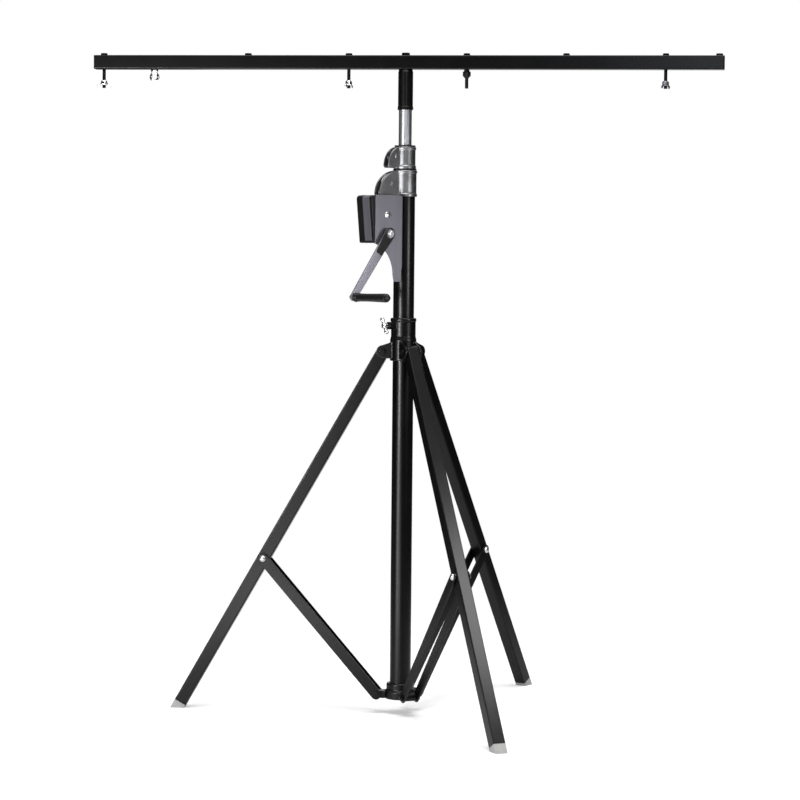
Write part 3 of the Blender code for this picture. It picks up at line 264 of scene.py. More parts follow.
def noise(tree, scale, detail, coordinates):
    """A noise texture whose scale is a number or a pair."""
    return (add(tree, "ShaderNodeTexNoise", {"Scale": scale, "Detail": detail, "Vector": coordinates}), "Fac")


def fade(tree, value, low, high):
    """0 below low, 1 above high, smooth between."""
    return (add(tree, "ShaderNodeMapRange", {"Value": value, "From Min": low, "From Max": high},
                interpolation_type="SMOOTHSTEP"), "Result")


def grain_group():
    """Fine skin and slow cloudiness; Draw stretches both along the height, as rolling or brushing does."""
    tree, given, out = group("skin_grain", {"Grain mm": 1.0, "Cloud mm": 60.0, "Draw": 1.0}, ("Grain", "Cloud"))
    squash = vector(tree, 1.0, 1.0, maths(tree, "DIVIDE", 1.0, (given, "Draw")))
    drawn = add(tree, "ShaderNodeVectorMath", {0: (add(tree, "ShaderNodeTexCoord"), "Object"), 1: squash},
                operation="MULTIPLY")
    for label, detail in (("Grain", 3.0), ("Cloud", 4.0)):
        scale = maths(tree, "DIVIDE", 1000.0, (given, label + " mm"))
        feed(tree, out, {label: noise(tree, scale, detail, (drawn, "Vector"))})
    return tree


def wear_group():
    """A mask along outer edges, broken up by noise, where handling has rubbed the finish."""
    tree, given, out = group("edge_wear", {"Reach mm": 0.6, "Patch mm": 9.0}, ("Mask",))
    rounded = add(tree, "ShaderNodeBevel", {"Radius": maths(tree, "MULTIPLY", (given, "Reach mm"), MM)}, samples=4)
    real = add(tree, "ShaderNodeNewGeometry")
    match = add(tree, "ShaderNodeVectorMath", {0: (rounded, "Normal"), 1: (real, "Normal")}, operation="DOT_PRODUCT")
    edge = fade(tree, maths(tree, "SUBTRACT", 1.0, (match, "Value")), 0.02, 0.2)
    scale = maths(tree, "DIVIDE", 1000.0, (given, "Patch mm"))
    patch = noise(tree, scale, 5.0, (add(tree, "ShaderNodeTexCoord"), "Object"))
    feed(tree, out, {"Mask": maths(tree, "MULTIPLY", edge, fade(tree, patch, 0.48, 0.68))})
    return tree


def dust_group():
    """A mask for fine dust: on faces that look up, and fading out above the floor."""
    tree, given, out = group("settled_dust", {"Up to m": 0.25}, ("Mask",))
    place = (add(tree, "ShaderNodeTexCoord"), "Object")
    split = add(tree, "ShaderNodeSeparateXYZ", {"Vector": place})
    low = maths(tree, "DIVIDE", (split, "Z"), (given, "Up to m"))
    way = add(tree, "ShaderNodeSeparateXYZ", {"Vector": (add(tree, "ShaderNodeNewGeometry"), "Normal")})
    dusty = maths(tree, "MAXIMUM", maths(tree, "SUBTRACT", 1.0, low, clamp=True), fade(tree, (way, "Z"), 0.3, 1.0))
    cloud = fade(tree, noise(tree, 70.0, 6.0, place), 0.4, 0.7)
    feed(tree, out, {"Mask": maths(tree, "MULTIPLY", dusty, cloud)})
    return tree


GRAIN, WEAR, DUST = grain_group(), wear_group(), dust_group()
print("groups", GRAIN.name, WEAR.name, DUST.name)

# %% [markdown]
# ## The finishes
# A table holds what makes each finish itself: two close colours that cloud into each other, a roughness
# range, how metallic it is, the size and depth of its grain, and what shows where it is rubbed or dusty.
# Black powder coat is a thin plastic skin over steel: dark, a little bumpy like orange peel, with a low
# specular level because its pigment goes right to the surface. Each row gives its values in the order of
# COLUMNS; grain and depth are in millimetres.

# %% Finish table
BLACK, ZINC, PLASTIC = "black_powder_coat", "zinc_plate", "black_plastic"
COLUMNS = ("first", "second", "rough", "metal", "specular", "grain", "draw", "depth", "worn", "wear", "dust")
LOOKS = {
    BLACK: ((0.0018, 0.0018, 0.002), (0.0032, 0.0032, 0.0035), (0.25, 0.33),
            0.0, 0.16, 1.1, 1.0, 0.010, (0.04, 0.04, 0.042), 0.3, 0.012),
    ZINC: ((0.44, 0.445, 0.46), (0.52, 0.525, 0.535), (0.28, 0.38),
           1.0, 0.5, 0.7, 14.0, 0.0004, (0.60, 0.60, 0.61), 0.3, 0.03),
    "chrome": ((0.80, 0.81, 0.83), (0.86, 0.87, 0.88), (0.06, 0.12),
               1.0, 0.5, 3.0, 1.0, 0.002, (0.62, 0.62, 0.63), 0.2, 0.02),
    "cast_aluminium": ((0.14, 0.14, 0.145), (0.21, 0.21, 0.215), (0.30, 0.44),
                       1.0, 0.5, 0.9, 1.0, 0.020, (0.88, 0.88, 0.88), 0.5, 0.03),
    "grey_steel": ((0.18, 0.177, 0.205), (0.22, 0.216, 0.25), (0.34, 0.46),
                   0.7, 0.4, 0.8, 5.0, 0.003, (0.42, 0.42, 0.44), 0.5, 0.03),
    PLASTIC: ((0.003, 0.003, 0.0035), (0.006, 0.006, 0.0065), (0.36, 0.46),
              0.0, 0.22, 0.5, 1.0, 0.012, (0.03, 0.03, 0.03), 0.3, 0.015),
    "grey_rubber": ((0.36, 0.36, 0.36), (0.46, 0.46, 0.45), (0.70, 0.85),
                    0.0, 0.3, 0.8, 1.0, 0.020, (0.22, 0.22, 0.21), 0.6, 0.25),
    "nylon": ((0.66, 0.65, 0.61), (0.74, 0.73, 0.69), (0.38, 0.50),
              0.0, 0.5, 0.6, 1.0, 0.006, (0.50, 0.49, 0.46), 0.4, 0.02),
    "wire": ((0.42, 0.43, 0.44), (0.60, 0.60, 0.61), (0.28, 0.42),
             1.0, 0.5, 0.4, 1.0, 0.006, (0.25, 0.24, 0.23), 0.3, 0.02),
}
DUST_COLOUR = (0.30, 0.29, 0.27)


def blend(tree, mask, strength, first, second):
    """Mixes a colour (a pair or three numbers) towards a plain colour by a mask."""
    if not isinstance(first[0], bpy.types.Node):
        first = (*first, 1.0)
    factor = maths(tree, "MULTIPLY", mask, strength)
    return (add(tree, "ShaderNodeMix", {0: factor, 6: first, 7: (*second, 1.0)}, data_type="RGBA"), 2)


def make_finish(name, row):
    """One finish of the table as a material."""
    look = dict(zip(COLUMNS, row))
    material = bpy.data.materials.new(name)
    material.use_nodes = True
    tree = material.node_tree
    skin = add(tree, "ShaderNodeGroup", {"Grain mm": look["grain"], "Draw": look["draw"]}, node_tree=GRAIN)
    grain = (skin, "Grain")
    colour = blend(tree, fade(tree, (skin, "Cloud"), 0.35, 0.65), 1.0, look["first"], look["second"])
    for part, strength, tint in ((WEAR, look["wear"], look["worn"]), (DUST, look["dust"], DUST_COLOUR)):
        colour = blend(tree, (add(tree, "ShaderNodeGroup", node_tree=part), "Mask"), strength, colour, tint)
    rough = add(tree, "ShaderNodeMapRange", {"Value": grain, "To Min": look["rough"][0], "To Max": look["rough"][1]})
    bump = add(tree, "ShaderNodeBump", {"Strength": 0.6, "Distance": look["depth"] * MM, "Height": grain})
    feed(tree, tree.nodes["Principled BSDF"], {
        "Base Color": colour, "Roughness": (rough, "Result"), "Normal": (bump, "Normal"),
        "Metallic": look["metal"], "Specular IOR Level": look["specular"]})
    return material


FINISH = {name: make_finish(name, row) for name, row in LOOKS.items()}
for part in nodes.values():
    for slot in part.material_slots:
        base = slot.material.name.split(".")[0] if slot.material else BLACK
        slot.material = FINISH.get(base, FINISH[BLACK])
print("finishes", ", ".join(FINISH))

# %% [markdown]
# ## Shapes in millimetres
# A stand like this is turned, sawn, bent and cast, so the helpers below do the same: turn a profile, cut a
# plate with eased edges from a flat outline, join and cut solids, and melt a joined solid into a casting
# with soft inner corners. All of them work in millimetres, as a drawing would, and `finish` scales the
# result to metres, gives it its surface and sets it on the body that carries it.

# %% Placing and finishing


def shift(x=0.0, y=0.0, z=0.0):
    return Matrix.Translation((x, y, z))


def to(place):
    """A move out along X and up along Z."""
    return shift(place[0], 0, place[1])


def spin(degrees, axis="Z"):
    return Matrix.Rotation(math.radians(degrees), 4, axis)


TURNS = {"Z": Matrix(), "X": spin(90, "Y"), "Y": spin(-90, "X")}
PLANES = {"XY": Matrix(), "XZ": spin(90, "X"), "YZ": spin(90) @ spin(90, "X")}


def from_shape(shape):
    """A bmesh as an object, its doubles merged and its faces pointing outwards."""
    bmesh.ops.remove_doubles(shape, verts=shape.verts, dist=0.001)
    bmesh.ops.recalc_face_normals(shape, faces=shape.faces)
    mesh = bpy.data.meshes.new("shape")
    shape.to_mesh(mesh)
    shape.free()
    return put("shape", mesh)


def baked(item):
    """A new mesh of the object, with its modifiers or curve settings applied."""
    bpy.context.view_layer.update()
    return bpy.data.meshes.new_from_object(item.evaluated_get(bpy.context.evaluated_depsgraph_get()))


def settled(item):
    """The object as it is baked, with its place in its mesh."""
    mesh = baked(item)
    mesh.transform(item.matrix_world)
    shape = bmesh.new()
    shape.from_mesh(mesh)
    bpy.data.objects.remove(item, do_unlink=True)
    bpy.data.meshes.remove(mesh)
    return from_shape(shape)


def gather(*items):
    """Several closed shapes as one object, left as they are."""
    shape = bmesh.new()
    for item in items:
        shape.from_mesh(item.data)
        bpy.data.objects.remove(item, do_unlink=True)
    return from_shape(shape)


def placed(item, frame):
    item.data.transform(frame)
    return item


def flat_stays_flat(item):
    """Normals weighted by face area, so that a soft edge doesn't bend the light on the face beside it."""
    weigh = item.modifiers.new("weigh", "WEIGHTED_NORMAL")
    weigh.keep_sharp = True
    old = item.data
    item.data = baked(item)
    item.modifiers.clear()
    bpy.data.meshes.remove(old)


def finish(item, name, body, look, *stands_for, smooth=35.0):
    """Names a finished piece, scales it to metres, and sets it on its body with its surface."""
    item.data.transform(Matrix.Scale(MM, 4))
    item.data.materials.clear()
    item.data.materials.append(FINISH[look])
    item.data.shade_smooth()
    item.data.set_sharp_from_angle(angle=math.radians(smooth))
    flat_stays_flat(item)
    item.name = item.data.name = name
    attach(item, body)
    if stands_for:
        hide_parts(*stands_for)
    print("%-24s %6d faces on %s" % (name, len(item.data.polygons), body))


# %% Turning and cutting


def arc(centre, radius, start, end, steps):
    """Points of an arc in a flat outline, between two angles in degrees."""
    angles = [math.radians(start + (end - start) * i / steps) for i in range(steps + 1)]
    return [(centre[0] + radius * math.cos(a), centre[1] + radius * math.sin(a)) for a in angles]


def ring(centre, radius, steps=32):
    return arc(centre, radius, 0.0, 360.0, steps)[:-1]


def polar(radius, angle):
    return (radius * math.cos(angle), radius * math.sin(angle))


def wavy(radius, lobe, lobes, steps):
    """A round outline with shallow lobes."""
    return [polar(radius + lobe * math.cos(lobes * a), a) for a in [2 * math.pi * i / steps for i in range(steps)]]


def mirrored(half):
    """Half a profile and its mirror image, as one line."""
    return half + [(radius, -height) for radius, height in reversed(half)]


def eased(points, radius, closed=True, steps=3):
    """The outline with each corner rounded, by less where its sides are short."""
    if not radius:
        return list(points)
    result, count = [], len(points)
    for i, here in enumerate(points):
        corner = Vector(here)
        before, after = Vector(points[i - 1]) - corner, Vector(points[(i + 1) % count]) - corner
        ends = not closed and i in (0, count - 1)
        if ends or before.length * after.length < 1e-9 or before.angle(after) > math.radians(165):
            result.append(here)
            continue
        half = before.angle(after) / 2.0
        reach = min(radius / math.tan(half), 0.45 * before.length, 0.45 * after.length)
        real = reach * math.tan(half)
        before, after = before.normalized(), after.normalized()
        centre = corner + (before + after).normalized() * real / math.sin(half)
        first, last = corner + before * reach - centre, corner + after * reach - centre
        result += [tuple(centre + first.slerp(last, s / steps) * real) for s in range(steps + 1)]
    return result


def lathe(profile, along="Z", frame=Matrix(), steps=96):
    """A profile of (radius, height) points turned about an axis; one that starts off the axis is a ring."""
    shape = bmesh.new()
    rings = []
    for radius, height in profile:
        count = 1 if radius < 1e-6 else steps
        angles = [2.0 * math.pi * i / count for i in range(count)]
        rings.append([shape.verts.new((radius * math.cos(a), radius * math.sin(a), height)) for a in angles])
    if len(rings[0]) > 1:
        rings.append(rings[0])
    for low, high in zip(rings, rings[1:]):
        for i in range(steps):
            j = (i + 1) % steps
            corners = (low[i % len(low)], low[j % len(low)], high[j % len(high)], high[i % len(high)])
            unique = list(dict.fromkeys(corners))
            if len(unique) > 2:
                shape.faces.new(unique)
    shape.transform(frame @ TURNS[along])
    return from_shape(shape)


def turned(profile, ease=0.5, along="Z", frame=Matrix(), steps=96):
    """An eased profile turned about an axis; one that starts off the axis closes on itself."""
    return lathe(eased(profile, ease, closed=profile[0][0] > 0), along, frame, steps)


def rod(radius, start, end, along="Z", frame=Matrix(), ease=0.5, steps=48):
    return turned([(0.0, end), (radius, end), (radius, start), (0.0, start)], ease, along, frame, steps)


def drill(radius, start, end, along="Z", frame=Matrix(), steps=32):
    """A rod with sharp ends, to cut a hole with."""
    return rod(radius, start, end, along, frame, 0, steps)


def plate(outlines, thickness, plane="XZ", frame=Matrix(), edge=0.4):
    """Flat outlines, the first the rim and the rest holes, as a plate with eased edges."""
    curve = bpy.data.curves.new("outline", "CURVE")
    curve.dimensions = "2D"
    curve.fill_mode = "BOTH"
    curve.extrude = thickness / 2.0 - edge
    curve.bevel_depth = edge
    curve.bevel_resolution = 2 if edge < 1.0 else 4
    curve.offset = -edge
    for outline in outlines:
        spline = curve.splines.new("POLY")
        spline.points.add(len(outline) - 1)
        for point, (u, v) in zip(spline.points, outline):
            point.co = (u, v, 0.0, 1.0)
        spline.use_cyclic_u = True
    return settled(put("outline", curve, frame @ PLANES[plane]))


def boxed(low, high, edge, frame=Matrix()):
    """A block with rounded edges, or sharp ones where edge is 0."""
    shape = bmesh.new()
    bmesh.ops.create_cube(shape, size=1.0)
    size = [b - a for a, b in zip(low, high)]
    middle = [(a + b) / 2.0 for a, b in zip(low, high)]
    shape.transform(Matrix.Translation(middle) @ Matrix.Diagonal((*size, 1.0)))
    if edge:
        bmesh.ops.bevel(shape, geom=list(shape.edges), offset=edge, segments=3, profile=0.5, affect="EDGES")
    shape.transform(frame)
    return from_shape(shape)


def worked(body, operation, *tools):
    """Joins tools to a body, or cuts them out of it."""
    for tool in tools:
        step = body.modifiers.new("work", "BOOLEAN")
        step.operation, step.solver, step.object = operation, "EXACT", tool
    result = settled(body)
    for tool in tools:
        bpy.data.objects.remove(tool, do_unlink=True)
    return result


def joined(body, *tools):
    return worked(body, "UNION", *tools)


def cut(body, *tools):
    return worked(body, "DIFFERENCE", *tools)


def cast(body, grain, passes):
    """Melts a solid into one casting, whose inner corners fill and outer edges soften."""
    remesh = body.modifiers.new("cast", "REMESH")
    remesh.mode, remesh.voxel_size, remesh.adaptivity = "VOXEL", grain, 0.0
    soften = body.modifiers.new("soften", "SMOOTH")
    soften.factor, soften.iterations = 0.5, passes
    return settled(body)


def rounded_square(half, corner):
    inset = half - corner
    points = []
    for turn, (x, y) in enumerate(((inset, inset), (-inset, inset), (-inset, -inset), (inset, -inset))):
        points += arc((x, y), corner, 90.0 * turn, 90.0 * turn + 90.0, 4)
    return points


# %% [markdown]
# ## Where the pieces stand
# The same few numbers that place the solids place the pieces: each leg's azimuth and pivot, the winch's own
# frame turned 225 degrees, and the axes in it. A frame is a matrix, so a piece is drawn at its own axis and
# then set in place in one step.

# %% Frames
LEGS = {"left": 180.0, "front": -60.0, "back": 60.0}
LEG_PIVOT, HUB_PIVOT, FOOT = (47.5, 868.0), (56.0, 46.0), (533.0, 14.0)
LEG_LENGTH = math.hypot(FOOT[0] - LEG_PIVOT[0], LEG_PIVOT[1] - FOOT[1])
LEG_TILT = math.degrees(math.atan2(FOOT[0] - LEG_PIVOT[0], LEG_PIVOT[1] - FOOT[1]))
JOINT_DOWN = 576.5
joint_out = LEG_PIVOT[0] + JOINT_DOWN * math.sin(math.radians(LEG_TILT)) - HUB_PIVOT[0]
joint_up = LEG_PIVOT[1] - JOINT_DOWN * math.cos(math.radians(LEG_TILT)) - HUB_PIVOT[1]
STRUT_LENGTH, STRUT_TILT = math.hypot(joint_out, joint_up), math.degrees(math.atan2(joint_out, joint_up))
WINCH = spin(225.0)
DRUM_AT, CRANK_AT, PAWL_AT = (74.0, 1190.898), (77.0, 1147.0), (48.0, 1151.0)
GEAR_Y, RATCHET_Y, ARM_Y = 17.5, -20.5, 40.5
CRANK_REACH, CRANK_DROP = 106.0, 149.0
PULLEY_AT, SMALL_PULLEY_AT = (45.85, 1264.0), (33.5, 1330.0)
DRUM, CRANK, HANDLE = WINCH @ to(DRUM_AT), WINCH @ to(CRANK_AT), WINCH @ shift(z=930.0)
GRIP = CRANK @ shift(CRANK_REACH, 0, -CRANK_DROP)
BOLT_HOLE = 4.3     # radius of the holes for the 8 mm bolts
print("leg %.1f mm at %.2f degrees, strut %.1f mm at %.2f" % (LEG_LENGTH, LEG_TILT, STRUT_LENGTH, STRUT_TILT))

# %% [markdown]
# ## Fasteners by rule
# Bolts are all alike but for their size, so one Geometry Nodes tree makes every one. A hexagonal bar is cut
# by a wide cone, which gives the curved chamfer of a real bolt head, then a washer, a shank and, where the
# bolt goes through, a nut are added. The tree stands one on each point of a small mesh, turned and sized by
# the point's own values. A second tree winds a thread on the ends that show.

# %% Geometry Nodes helpers


def nodes_tree(name, **numbers):
    """An empty geometry tree with a geometry in and out, a surface and named numbers."""
    numbers = {label.replace("_", " "): value for label, value in numbers.items()}
    return group(name, numbers, ["Geometry"], "Geometry", [("Geometry", "Geometry"), ("Surface", "Material")],
                 "Geometry")


def run_tree(item, tree, look, **values):
    """Sets a tree on an object with its inputs, and returns the plain mesh that it makes."""
    modifier = item.modifiers.new(tree.name, "NODES")
    modifier.node_group = tree
    sockets = {socket.name: socket.identifier for socket in tree.interface.items_tree if socket.in_out == "INPUT"}
    for label, value in values.items():
        modifier[sockets[label.replace("_", " ")]] = float(value)
    modifier[sockets["Surface"]] = FINISH[look]
    return settled(item)


def closing(tree, given, out, geometry):
    """Realize Instances and Set Material at the end of a tree."""
    real = add(tree, "GeometryNodeRealizeInstances", {"Geometry": geometry})
    surface = add(tree, "GeometryNodeSetMaterial", {"Geometry": (real, "Geometry"), "Material": (given, "Surface")})
    feed(tree, out, {"Geometry": (surface, "Geometry")})


def together(tree, parts, kind="GeometryNodeJoinGeometry", socket="Geometry", **settings):
    """A node whose one many-way socket takes all the parts, in order."""
    node = add(tree, kind, **settings)
    for part in parts:
        feed(tree, node, {socket: part})
    return node


def moved(tree, geometry, height):
    """Geometry moved along Z by a pair or a number."""
    offset = vector(tree, 0.0, 0.0, height)
    return (add(tree, "GeometryNodeTransform", {"Geometry": geometry, "Translation": offset}), "Geometry")


def drum_shape(tree, sides, radius, depth):
    """A closed cylinder standing on Z=0, sized by pairs or numbers."""
    node = add(tree, "GeometryNodeMeshCylinder", {"Vertices": sides, "Radius": radius, "Depth": depth})
    return moved(tree, (node, "Mesh"), maths(tree, "MULTIPLY", depth, 0.5))


def circle(tree, sides, radius):
    return (add(tree, "GeometryNodeCurvePrimitiveCircle", {"Resolution": sides, "Radius": radius}), "Curve")


def swept(tree, line, section):
    """A section swept along a line, closed at its ends."""
    return (add(tree, "GeometryNodeCurveToMesh", {"Curve": line, "Profile Curve": section, "Fill Caps": True}), "Mesh")


def own_value(tree, label, kind="FLOAT"):
    return (add(tree, "GeometryNodeInputNamedAttribute", {"Name": label}, data_type=kind), "Attribute")


def stand_on_points(tree, given, geometry, scale):
    """Instances of a geometry on the points, turned by their own turn and scaled by a vector pair."""
    turn = own_value(tree, "turn", "FLOAT_VECTOR")
    return (add(tree, "GeometryNodeInstanceOnPoints", {"Points": (given, "Geometry"), "Instance": geometry,
                                                       "Rotation": turn, "Scale": scale}), "Instances")


# %% The bolt tree
HEX_CORNER = 0.57735                    # a hexagon's corner radius over its flats
CHAMFER_TOP, CHAMFER_SLOPE = 0.47, 1.7  # the flat top's radius over the flats, and the cone's spread over the height


def hex_head(tree, flats, height):
    """A hexagonal bar whose end is chamfered by a cone; the chamfer faces up."""
    bar = drum_shape(tree, 6, maths(tree, "MULTIPLY", flats, HEX_CORNER), height)
    top = maths(tree, "MULTIPLY", flats, CHAMFER_TOP)
    bottom = maths(tree, "ADD", top, maths(tree, "MULTIPLY", height, CHAMFER_SLOPE))
    cone = add(tree, "GeometryNodeMeshCone", {"Vertices": 48, "Radius Top": top, "Radius Bottom": bottom,
                                              "Depth": height})
    both = together(tree, (bar, (cone, "Mesh")), "GeometryNodeMeshBoolean", "Mesh 2", operation="INTERSECT",
                    solver="EXACT")
    return (both, "Mesh")


def bolt_tree():
    tree, given, out = nodes_tree("hex_bolts", Flats=13.0, Head=5.0, Washer=8.0, Washer_Thick=0.0, Shank=4.0)
    thick, size = (given, "Washer Thick"), own_value(tree, "size")
    top = moved(tree, hex_head(tree, (given, "Flats"), (given, "Head")), thick)
    heads = (together(tree, (top, drum_shape(tree, 48, (given, "Washer"), thick))), "Geometry")
    shank = moved(tree, drum_shape(tree, 32, (given, "Shank"), 1.0), -1.0)
    long = vector(tree, 1.0, 1.0, own_value(tree, "length"))
    both = [stand_on_points(tree, given, heads, vector(tree, size, size, size)),
            stand_on_points(tree, given, shank, long)]
    closing(tree, given, out, (together(tree, both), "Geometry"))
    return tree


def thread_tree():
    tree, given, out = nodes_tree("screw_thread", Radius=4.0, Pitch=1.25, Run=10.0)
    radius, pitch, run = [(given, label) for label in ("Radius", "Pitch", "Run")]
    spiral = add(tree, "GeometryNodeCurveSpiral", {
        "Resolution": 24, "Rotations": maths(tree, "DIVIDE", run, pitch), "Start Radius": radius,
        "End Radius": radius, "Height": run})
    ridge = swept(tree, (spiral, "Curve"), circle(tree, 3, maths(tree, "MULTIPLY", pitch, 0.42)))
    closing(tree, given, out, stand_on_points(tree, given, ridge, vector(tree, 1.0, 1.0, 1.0)))
    return tree


BOLTS, THREAD = bolt_tree(), thread_tree()


def points(rows):
    """A mesh of points, each row (place, turn in degrees, length, size)."""
    mesh = bpy.data.meshes.new("points")
    mesh.from_pydata([row[0] for row in rows], [], [])
    turn = mesh.attributes.new("turn", "FLOAT_VECTOR", "POINT")
    for value, row in zip(turn.data, rows):
        value.vector = [math.radians(a) for a in row[1]]
    for column, label in ((2, "length"), (3, "size")):
        attribute = mesh.attributes.new(label, "FLOAT", "POINT")
        for value, row in zip(attribute.data, rows):
            value.value = row[column]
    return put("points", mesh)


def bolts(rows, look, flats, head, washer, thick=1.0):
    return run_tree(points(rows), BOLTS, look, Flats=flats, Head=head, Washer=washer, Washer_Thick=thick)


def threads(rows, look, run):
    return run_tree(points(rows), THREAD, look, Radius=3.75, Run=run)


print("trees", BOLTS.name, THREAD.name)

# %% [markdown]
# ## The mast
# Three drawn tubes slide in each other: a black outer one that stands still, and two zinc ones that rise.
# A tube is a turned profile with its cut ends eased, which shows as a bright line at each rim.

# %% Tubes
for name, body, look, outer, inner, low, high in (("outer", "mast", BLACK, 25.0, 23.6, 42.3, 1244.0),
                                                  ("middle", "middle_stage", ZINC, 19.75, 18.35, 66.0, 1318.5),
                                                  ("inner", "inner_stage", ZINC, 15.5, 14.0, 92.0, 1524.0)):
    tube = turned([(outer, high), (outer, low), (inner, low), (inner, high)], 0.4, steps=128)
    finish(tube, name + "_tube", body, look, "mast_%s_tube" % name)

# %% [markdown]
# ## The two head collars
# Each is a die casting with a clamp ring for its tube and two cheeks for a rope pulley. Joining a ring and a
# bracket gives hard corners that no mould has, so the joined solid is cast: remeshed fine and smoothed a
# little. The pulley's pin, with its riveted ends, is a separate turned piece.

# %% Collars
ROPE_WAY = 6.6


def channel(start, reach, low, high):
    """A block that cuts the rope's way out of a ring."""
    return boxed((start, -ROPE_WAY, low), (reach, ROPE_WAY, high), 0.0, WINCH)


def head_collar(low, high, seat_bore, seat_top, neck_bore, ring_r, reach, cheeks):
    """A clamp ring with two cheeks for a pulley, bored for its tubes and slotted for the rope."""
    rim = ring_r + 1.6
    body = lathe([(ring_r - 0.6, high), (rim, high - 1.5), (rim, high - 6), (ring_r, high - 8), (ring_r, low + 8),
                  (rim, low + 6), (rim, low), (12, low), (12, high)])
    start_x, centre = 14.0, (22.0, low + 5.0)
    curve = [(centre[0] + (reach - centre[0]) * u, centre[1] + (high - 1 - centre[1]) * v)
             for u, v in arc((0, 0), 1.0, 0.0, 90.0, 24)]
    outline = [(start_x, low + 1), (reach - 3, low + 1)] + curve + [(start_x, high - 1)]
    body = joined(body, plate([eased(outline, 2.0)], 2 * cheeks, frame=WINCH, edge=1.2))
    bore = lathe([(0, high + 1), (neck_bore, high + 1), (neck_bore, seat_top), (seat_bore, seat_top),
                  (seat_bore, low - 1), (0, low - 1)])
    body = cut(cut(body, bore), channel(neck_bore - 5, reach + 1, low - 1, high + 1))
    return cast(body, 0.8, 3)


def pulley_pin(cheeks, at):
    """A pin whose two ends are riveted over outside the cheeks."""
    end = cheeks + 2.0
    half = [(0, end), (2.6, end), (4.6, end - 1.1), (5.2, cheeks + 0.05), (4.0, cheeks - 0.4)]
    return turned(mirrored(half), 0.5, "Y", WINCH @ to(at), 48)


for name, body, tube, at, cheeks, sizes in (
        ("lower", "mast", "outer", PULLEY_AT, 11.0, (1236.0, 1298.4, 25.3, 1244.3, 23.8, 28.0, 84.0)),
        ("upper", "middle_stage", "middle", SMALL_PULLEY_AT, 10.0, (1302.0, 1354.0, 20.05, 1318.8, 18.95, 25.0, 58.0))):
    finish(gather(head_collar(*sizes, cheeks), pulley_pin(cheeks, at)), name + "_head_collar", body, "cast_aluminium",
           tube + "_tube_collar", smooth=50.0)

# %% [markdown]
# ## Guides and pulleys
# Black plastic guides line the collars, with a flange that shows as a dark ring on top of each, and a nylon
# ring steadies the middle tube's foot. They are split where the rope runs. The pulleys are turned, with a
# groove that holds half the rope.

# %% Guides


def guide(outer, inner, low, collar_top, flange_r):
    high = collar_top + 3.3
    profile = [(flange_r, high), (flange_r, high - 3), (outer, high - 3), (outer, low), (inner, low), (inner, high)]
    return cut(turned(profile, 0.7), channel(inner - 3, flange_r + 5, low - 1, high + 1))


finish(guide(23.5, 20.05, 1262.0, 1298.4, 28.0), "lower_guide", "mast", PLASTIC, "outer_guide_bush")
finish(guide(18.65, 15.8, 1322.0, 1354.0, 25.0), "upper_guide", "middle_stage", PLASTIC, "middle_guide_bush")
glide = turned([(23.15, 98), (23.15, 68), (20.05, 68), (20.05, 98)], 0.8)
glide = cut(glide, boxed((17.75, -3, 67), (24.6, 3, 99), 0.0, WINCH))
finish(glide, "foot_glide", "middle_stage", "nylon", "middle_stage_glide")

# %% Pulleys
ROPE_R, GROOVE_R = 1.4, 1.9


def pulley(rope_at, at):
    """A wheel with a thinner web and a round groove, whose rope runs at a radius."""
    flange, groove, half = rope_at + 1.2, rope_at - ROPE_R - 0.3, 5.0
    round_groove = [(groove + GROOVE_R * (1 - math.cos(a)), GROOVE_R * math.sin(a))
                    for a in [math.radians(v) for v in range(75, -76, -15)]]
    rim, web, hub, bore = rope_at * 0.78, half - 1.5, 8.5, 4.4
    profile = [(flange, half), (flange, half - 1)] + round_groove + [
        (flange, -half + 1), (flange, -half), (rim, -half), (rim - 1, -web), (hub, -web), (hub, -half),
        (bore, -half), (bore, half), (hub, half), (hub, web), (rim - 1, web), (rim, half)]
    return turned(profile, 0.4, "Y", WINCH @ to(at))


finish(pulley(24.0, PULLEY_AT), "lower_pulley", "outer_pulley", PLASTIC, "outer_tube_pulley")
finish(pulley(16.0, SMALL_PULLEY_AT), "upper_pulley", "middle_pulley", PLASTIC, "middle_tube_pulley")

# %% [markdown]
# ## The T-bar
# A drilled square tube with a cap in each end. The drawn tube has small outer corners, so the outline is a
# rounded square with a smaller one inside it, stretched along X and drilled through for its bolts.

# %% Bar and caps
BAR_HALF, BAR_SIDE, BAR_LOW = 750.0, 33.0, 1536.5
BAR_TOP, BAR_MIDDLE = BAR_LOW + BAR_SIDE, BAR_LOW + BAR_SIDE / 2.0
BAR_WALL, CAP_FACE, CAP_PLUG = 2.0, 3.0, 3.7
WING_BOLTS = {"outer_left": -728.0, "inner_left": -136.0, "inner_right": 145.0, "outer_right": 613.0}
PLAIN_BOLTS = {"left": -378.0, "centre": 0.0, "right": 380.0, "end": 738.0}
EYE_X = -605.0
rim = rounded_square(BAR_SIDE / 2.0, 3.0)
bar = plate([rim, rounded_square(BAR_SIDE / 2.0 - BAR_WALL, 1.5)], 2 * (BAR_HALF - CAP_FACE - 0.3), "YZ",
            shift(z=BAR_MIDDLE), 0.3)
holes = [drill(BOLT_HOLE, BAR_LOW - 5, BAR_TOP + 5, frame=shift(x))
         for x in [*WING_BOLTS.values(), EYE_X, PLAIN_BOLTS["centre"]]]
holes += [drill(BOLT_HOLE, BAR_MIDDLE, BAR_TOP + 5, frame=shift(PLAIN_BOLTS[side]))
          for side in ("left", "right", "end")]
finish(cut(bar, *holes), "t_bar", "tbar", BLACK, "tbar_tube")
